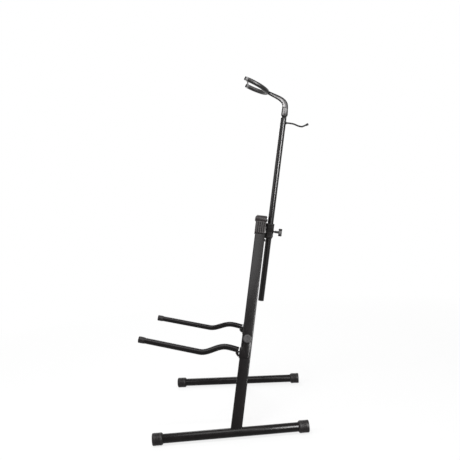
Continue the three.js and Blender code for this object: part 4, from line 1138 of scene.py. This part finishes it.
def armWeld():
    # a bead in the corner between the tube and the seat, along both sides
    s, line, beads = armSeam, armLine(), []
    angle = math.radians(s["angle"])
    for side in (-1, 1):
        track = []
        for p, q in zip(line[:5], line[1:6]):
            along = (q - p).normalized()
            down = Vector((0, along.z, -along.y)).normalized()
            down = down if down.z < 0 else -down
            offset = Vector((side * math.cos(angle), 0, 0)) + down * math.sin(angle)
            track.append(p + offset * (arm["radius"] + 0.3))
        track = [p for p in track if -p.y < bracket["front"] + bracket["seatReach"] + 1]
        track = resample(track, s["step"], False)
        beads.append(weldBead(track, s["bead"], s["ripple"], s["pitch"], False))
    return beads


def knobMesh():
    k = knob
    low, wide, outer = k["base"], k["radius"], k["ring"]
    top, inner = low + k["thick"], outer - k["ringWide"]
    sunk = top - k["ringDeep"]
    return spun([
        (0, low + 0.05), (wide - 1.4, low + 0.05, 0.6), (wide, low + 1.6, 0.9), (wide, top, 2.2),
        (outer, top, 0.25), (outer - 0.15, sunk, 0.25), (inner + 0.15, sunk, 0.25), (inner, top, 0.25),
        (inner * 0.75, top, 1), (0, top - 0.25),
    ], 72, "X", 5)


def armCapMesh():
    a = arm
    cap, collar, end, bore = a["cap"], a["collar"], a["capLength"], a["radius"] + 0.1
    back = end + a["collarLength"]
    return spun([
        (0, 0.5), (cap * 0.5, 0.5, 2), (cap * 0.68, 0, 2), (cap, 0, 3), (cap, end, 0.5),
        (collar - 0.35, end + 0.3, 0.3), (collar - 0.35, end + 0.9, 0.3), (collar, end + 1.3, 0.4),
        (collar, back, 0.6), (bore, back, 0.2), (bore, 3), (0, 3),
    ], 64, "Y", 5)


def armBoltMesh():
    b, face = armBolt, bracket["half"] + 0.1
    top = face + b["thick"]
    head = spun([
        (0, face), (b["head"], face, 0.3), (b["head"], face + 1.2, 0.6), (b["crown"], top, 0.8), (0, top),
    ], 48, "X")
    socket = prism(ringOf(b["socket"], 6), face + 1.2, face + 4, 0, 1, "X")
    head = moved(carved(head, ("DIFFERENCE", socket)), turn=Matrix.Rotation(math.pi, 4, "Z"))
    return joinedMesh(head, cylinder(b["shank"], -face, face + b["past"], 32, "X"))


def buildArms():
    a, line = arm, armLine()
    rise = math.radians(a["rise"])
    drop = a["troughDrop"] - (a["reach"] - a["troughReach"]) * math.tan(rise)
    for word, flip in sides:
        place, body = arms[word], "arm_" + word
        tube = sweep(line, a["radius"], 44)
        addPiece(f"armTube_{word}", tube, place, body, [f"arm_tube_{word}"], satinPaint, flip=flip)
        made = joinedMesh(bracketMesh(), *armWeld())
        addPiece(f"armBracket_{word}", made, place, body, [f"arm_bracket_{word}"], satinPaint, flip=flip)
        tip = place @ shift(0, -a["reach"], -drop) @ turnX(-rise)
        addPiece(f"armCap_{word}", armCapMesh(), tip, body, [f"arm_cap_{word}"], blackRubber)
        addPiece(f"armBolt_{word}", armBoltMesh(), place, "leg_" + word,
                 [f"arm_bolt_{word}"], blackSteel, flip=flip)
        addPiece(f"armKnob_{word}", knobMesh(), place, "knob_" + word,
                 [f"arm_knob_{word}"], paleMoulding, flip=flip)


buildArms()
print("arms made")

# camera, floor and lights

view = {  # metres, degrees, and the lens as a focal length for a picture of this width, in pixels
    "place": (2.0941, 0.12268, 0.7188), "yaw": -3.12, "pitch": 2.36, "roll": 4.48,
    "focal": 600, "width": 460, "sensor": 36, "near": 0.05, "far": 60,
}


def buildCamera():
    yaw, pitch, roll = (math.radians(view[k]) for k in ("yaw", "pitch", "roll"))
    ahead = Vector((-math.cos(yaw) * math.cos(pitch), math.sin(yaw) * math.cos(pitch), -math.sin(pitch)))
    side = Vector((math.sin(yaw), math.cos(yaw), 0))
    above = side.cross(ahead)
    x = side * math.cos(roll) - above * math.sin(roll)
    y = side * math.sin(roll) + above * math.cos(roll)
    data = bpy.data.cameras.new("camera")
    data.sensor_width = view["sensor"]
    data.lens = view["sensor"] * view["focal"] / view["width"]
    data.clip_start, data.clip_end = view["near"], view["far"]
    camera = linked("camera", data)
    camera.matrix_world = frameAt(Vector(view["place"]), x, y)
    bpy.context.scene.camera = camera


studio = {
    "floor": 12.0, "under": 0.0004, "clear": 0.8, "fade": (0.5, 2.4), "paper": 0.86, "world": 0.34,
    "lamps": [
        # place, target, width, height, watts
        ((1.75, -0.10, 2.65), (0, -0.1, 0.55), 2.0, 1.5, 50),
        ((0.95, -0.20, 3.1), (0, -0.2, 0.2), 2.2, 0.35, 26),
        ((1.3, -2.3, 1.7), (0, 0, 0.6), 1.4, 1.4, 22),
        ((-2.2, -0.4, 1.9), (0, 0.1, 0.6), 1.4, 1.4, 26),
    ],
    # a tall lamp that is only seen in the gloss, as a line down the round tubes
    "strip": ((1.82, 1.30, 1.22), (0, 0.15, 1.05), 0.60, 1.2, 175),
}


def seenPlain(f):
    # 1 for the camera, mirrors and glass, which see the plain backdrop
    f.add("ShaderNodeLightPath")
    rays = [Wire(f, f.last.outputs[f"Is {kind} Ray"]) for kind in ("Camera", "Glossy", "Transmission")]
    return f.math("MAXIMUM", f.math("MAXIMUM", rays[0], rays[1]), rays[2])


def buildStage():
    s = studio
    bm = bmesh.new()
    half = s["floor"] / 2
    corners = ((-half, -half), (half, -half), (half, half), (-half, half))
    bm.faces.new([bm.verts.new((x, y, 0)) for x, y in corners])
    floor = objectFrom(bm, "floor")
    floor.location.z = -s["under"]
    f = Finish("floorPaper")
    plain = seenPlain(f)
    paper = f.add("ShaderNodeBsdfDiffuse", {}, {"Color": (s["paper"], s["paper"], s["paper"], 1)})
    white = f.add("ShaderNodeEmission", {}, {"Color": (1, 1, 1, 1), "Strength": 1.0})
    spot = f.add("ShaderNodeTexCoord", output=3)
    far = f.add("ShaderNodeVectorMath", {"operation": "LENGTH"}, [spot], output=1)
    first, last = s["fade"]
    fade = f.add("ShaderNodeMapRange", {}, {"Value": far, 1: first, 2: last, 3: s["clear"], 4: 1.0})
    mixed = f.add("ShaderNodeMixShader", {}, {0: plain * fade, 1: paper, 2: white})
    f.add("ShaderNodeOutputMaterial", {}, {"Surface": mixed})
    floor.data.materials.append(f.material)
    for i, (place, target, width, height, watts) in enumerate([*s["lamps"], s["strip"]]):
        lamp = bpy.data.lights.new(f"lamp{i}", "AREA")
        lamp.shape = "ELLIPSE" if i < len(s["lamps"]) else "RECTANGLE"
        lamp.size, lamp.size_y, lamp.energy = width, height, watts
        thing = linked(f"lamp{i}", lamp)
        thing.location = place
        thing.rotation_mode = "QUATERNION"
        thing.rotation_quaternion = (Vector(target) - Vector(place)).to_track_quat("-Z", "Y")
        thing.visible_diffuse = i < len(s["lamps"])
    world = bpy.data.worlds.new("studio")
    bpy.context.scene.world = world
    world.use_nodes = True
    f = Finish("studio", world.node_tree)
    low = f.add("ShaderNodeBackground", {}, {"Color": (1, 1, 1, 1), "Strength": s["world"]})
    high = f.add("ShaderNodeBackground", {}, {"Color": (1, 1, 1, 1), "Strength": 1.0})
    mixed = f.add("ShaderNodeMixShader", {}, {0: seenPlain(f), 1: low, 2: high})
    f.add("ShaderNodeOutputWorld", {}, {"Surface": mixed})
    bpy.context.scene.view_settings.view_transform = "Standard"


buildCamera()
buildStage()
print("camera and lights made")
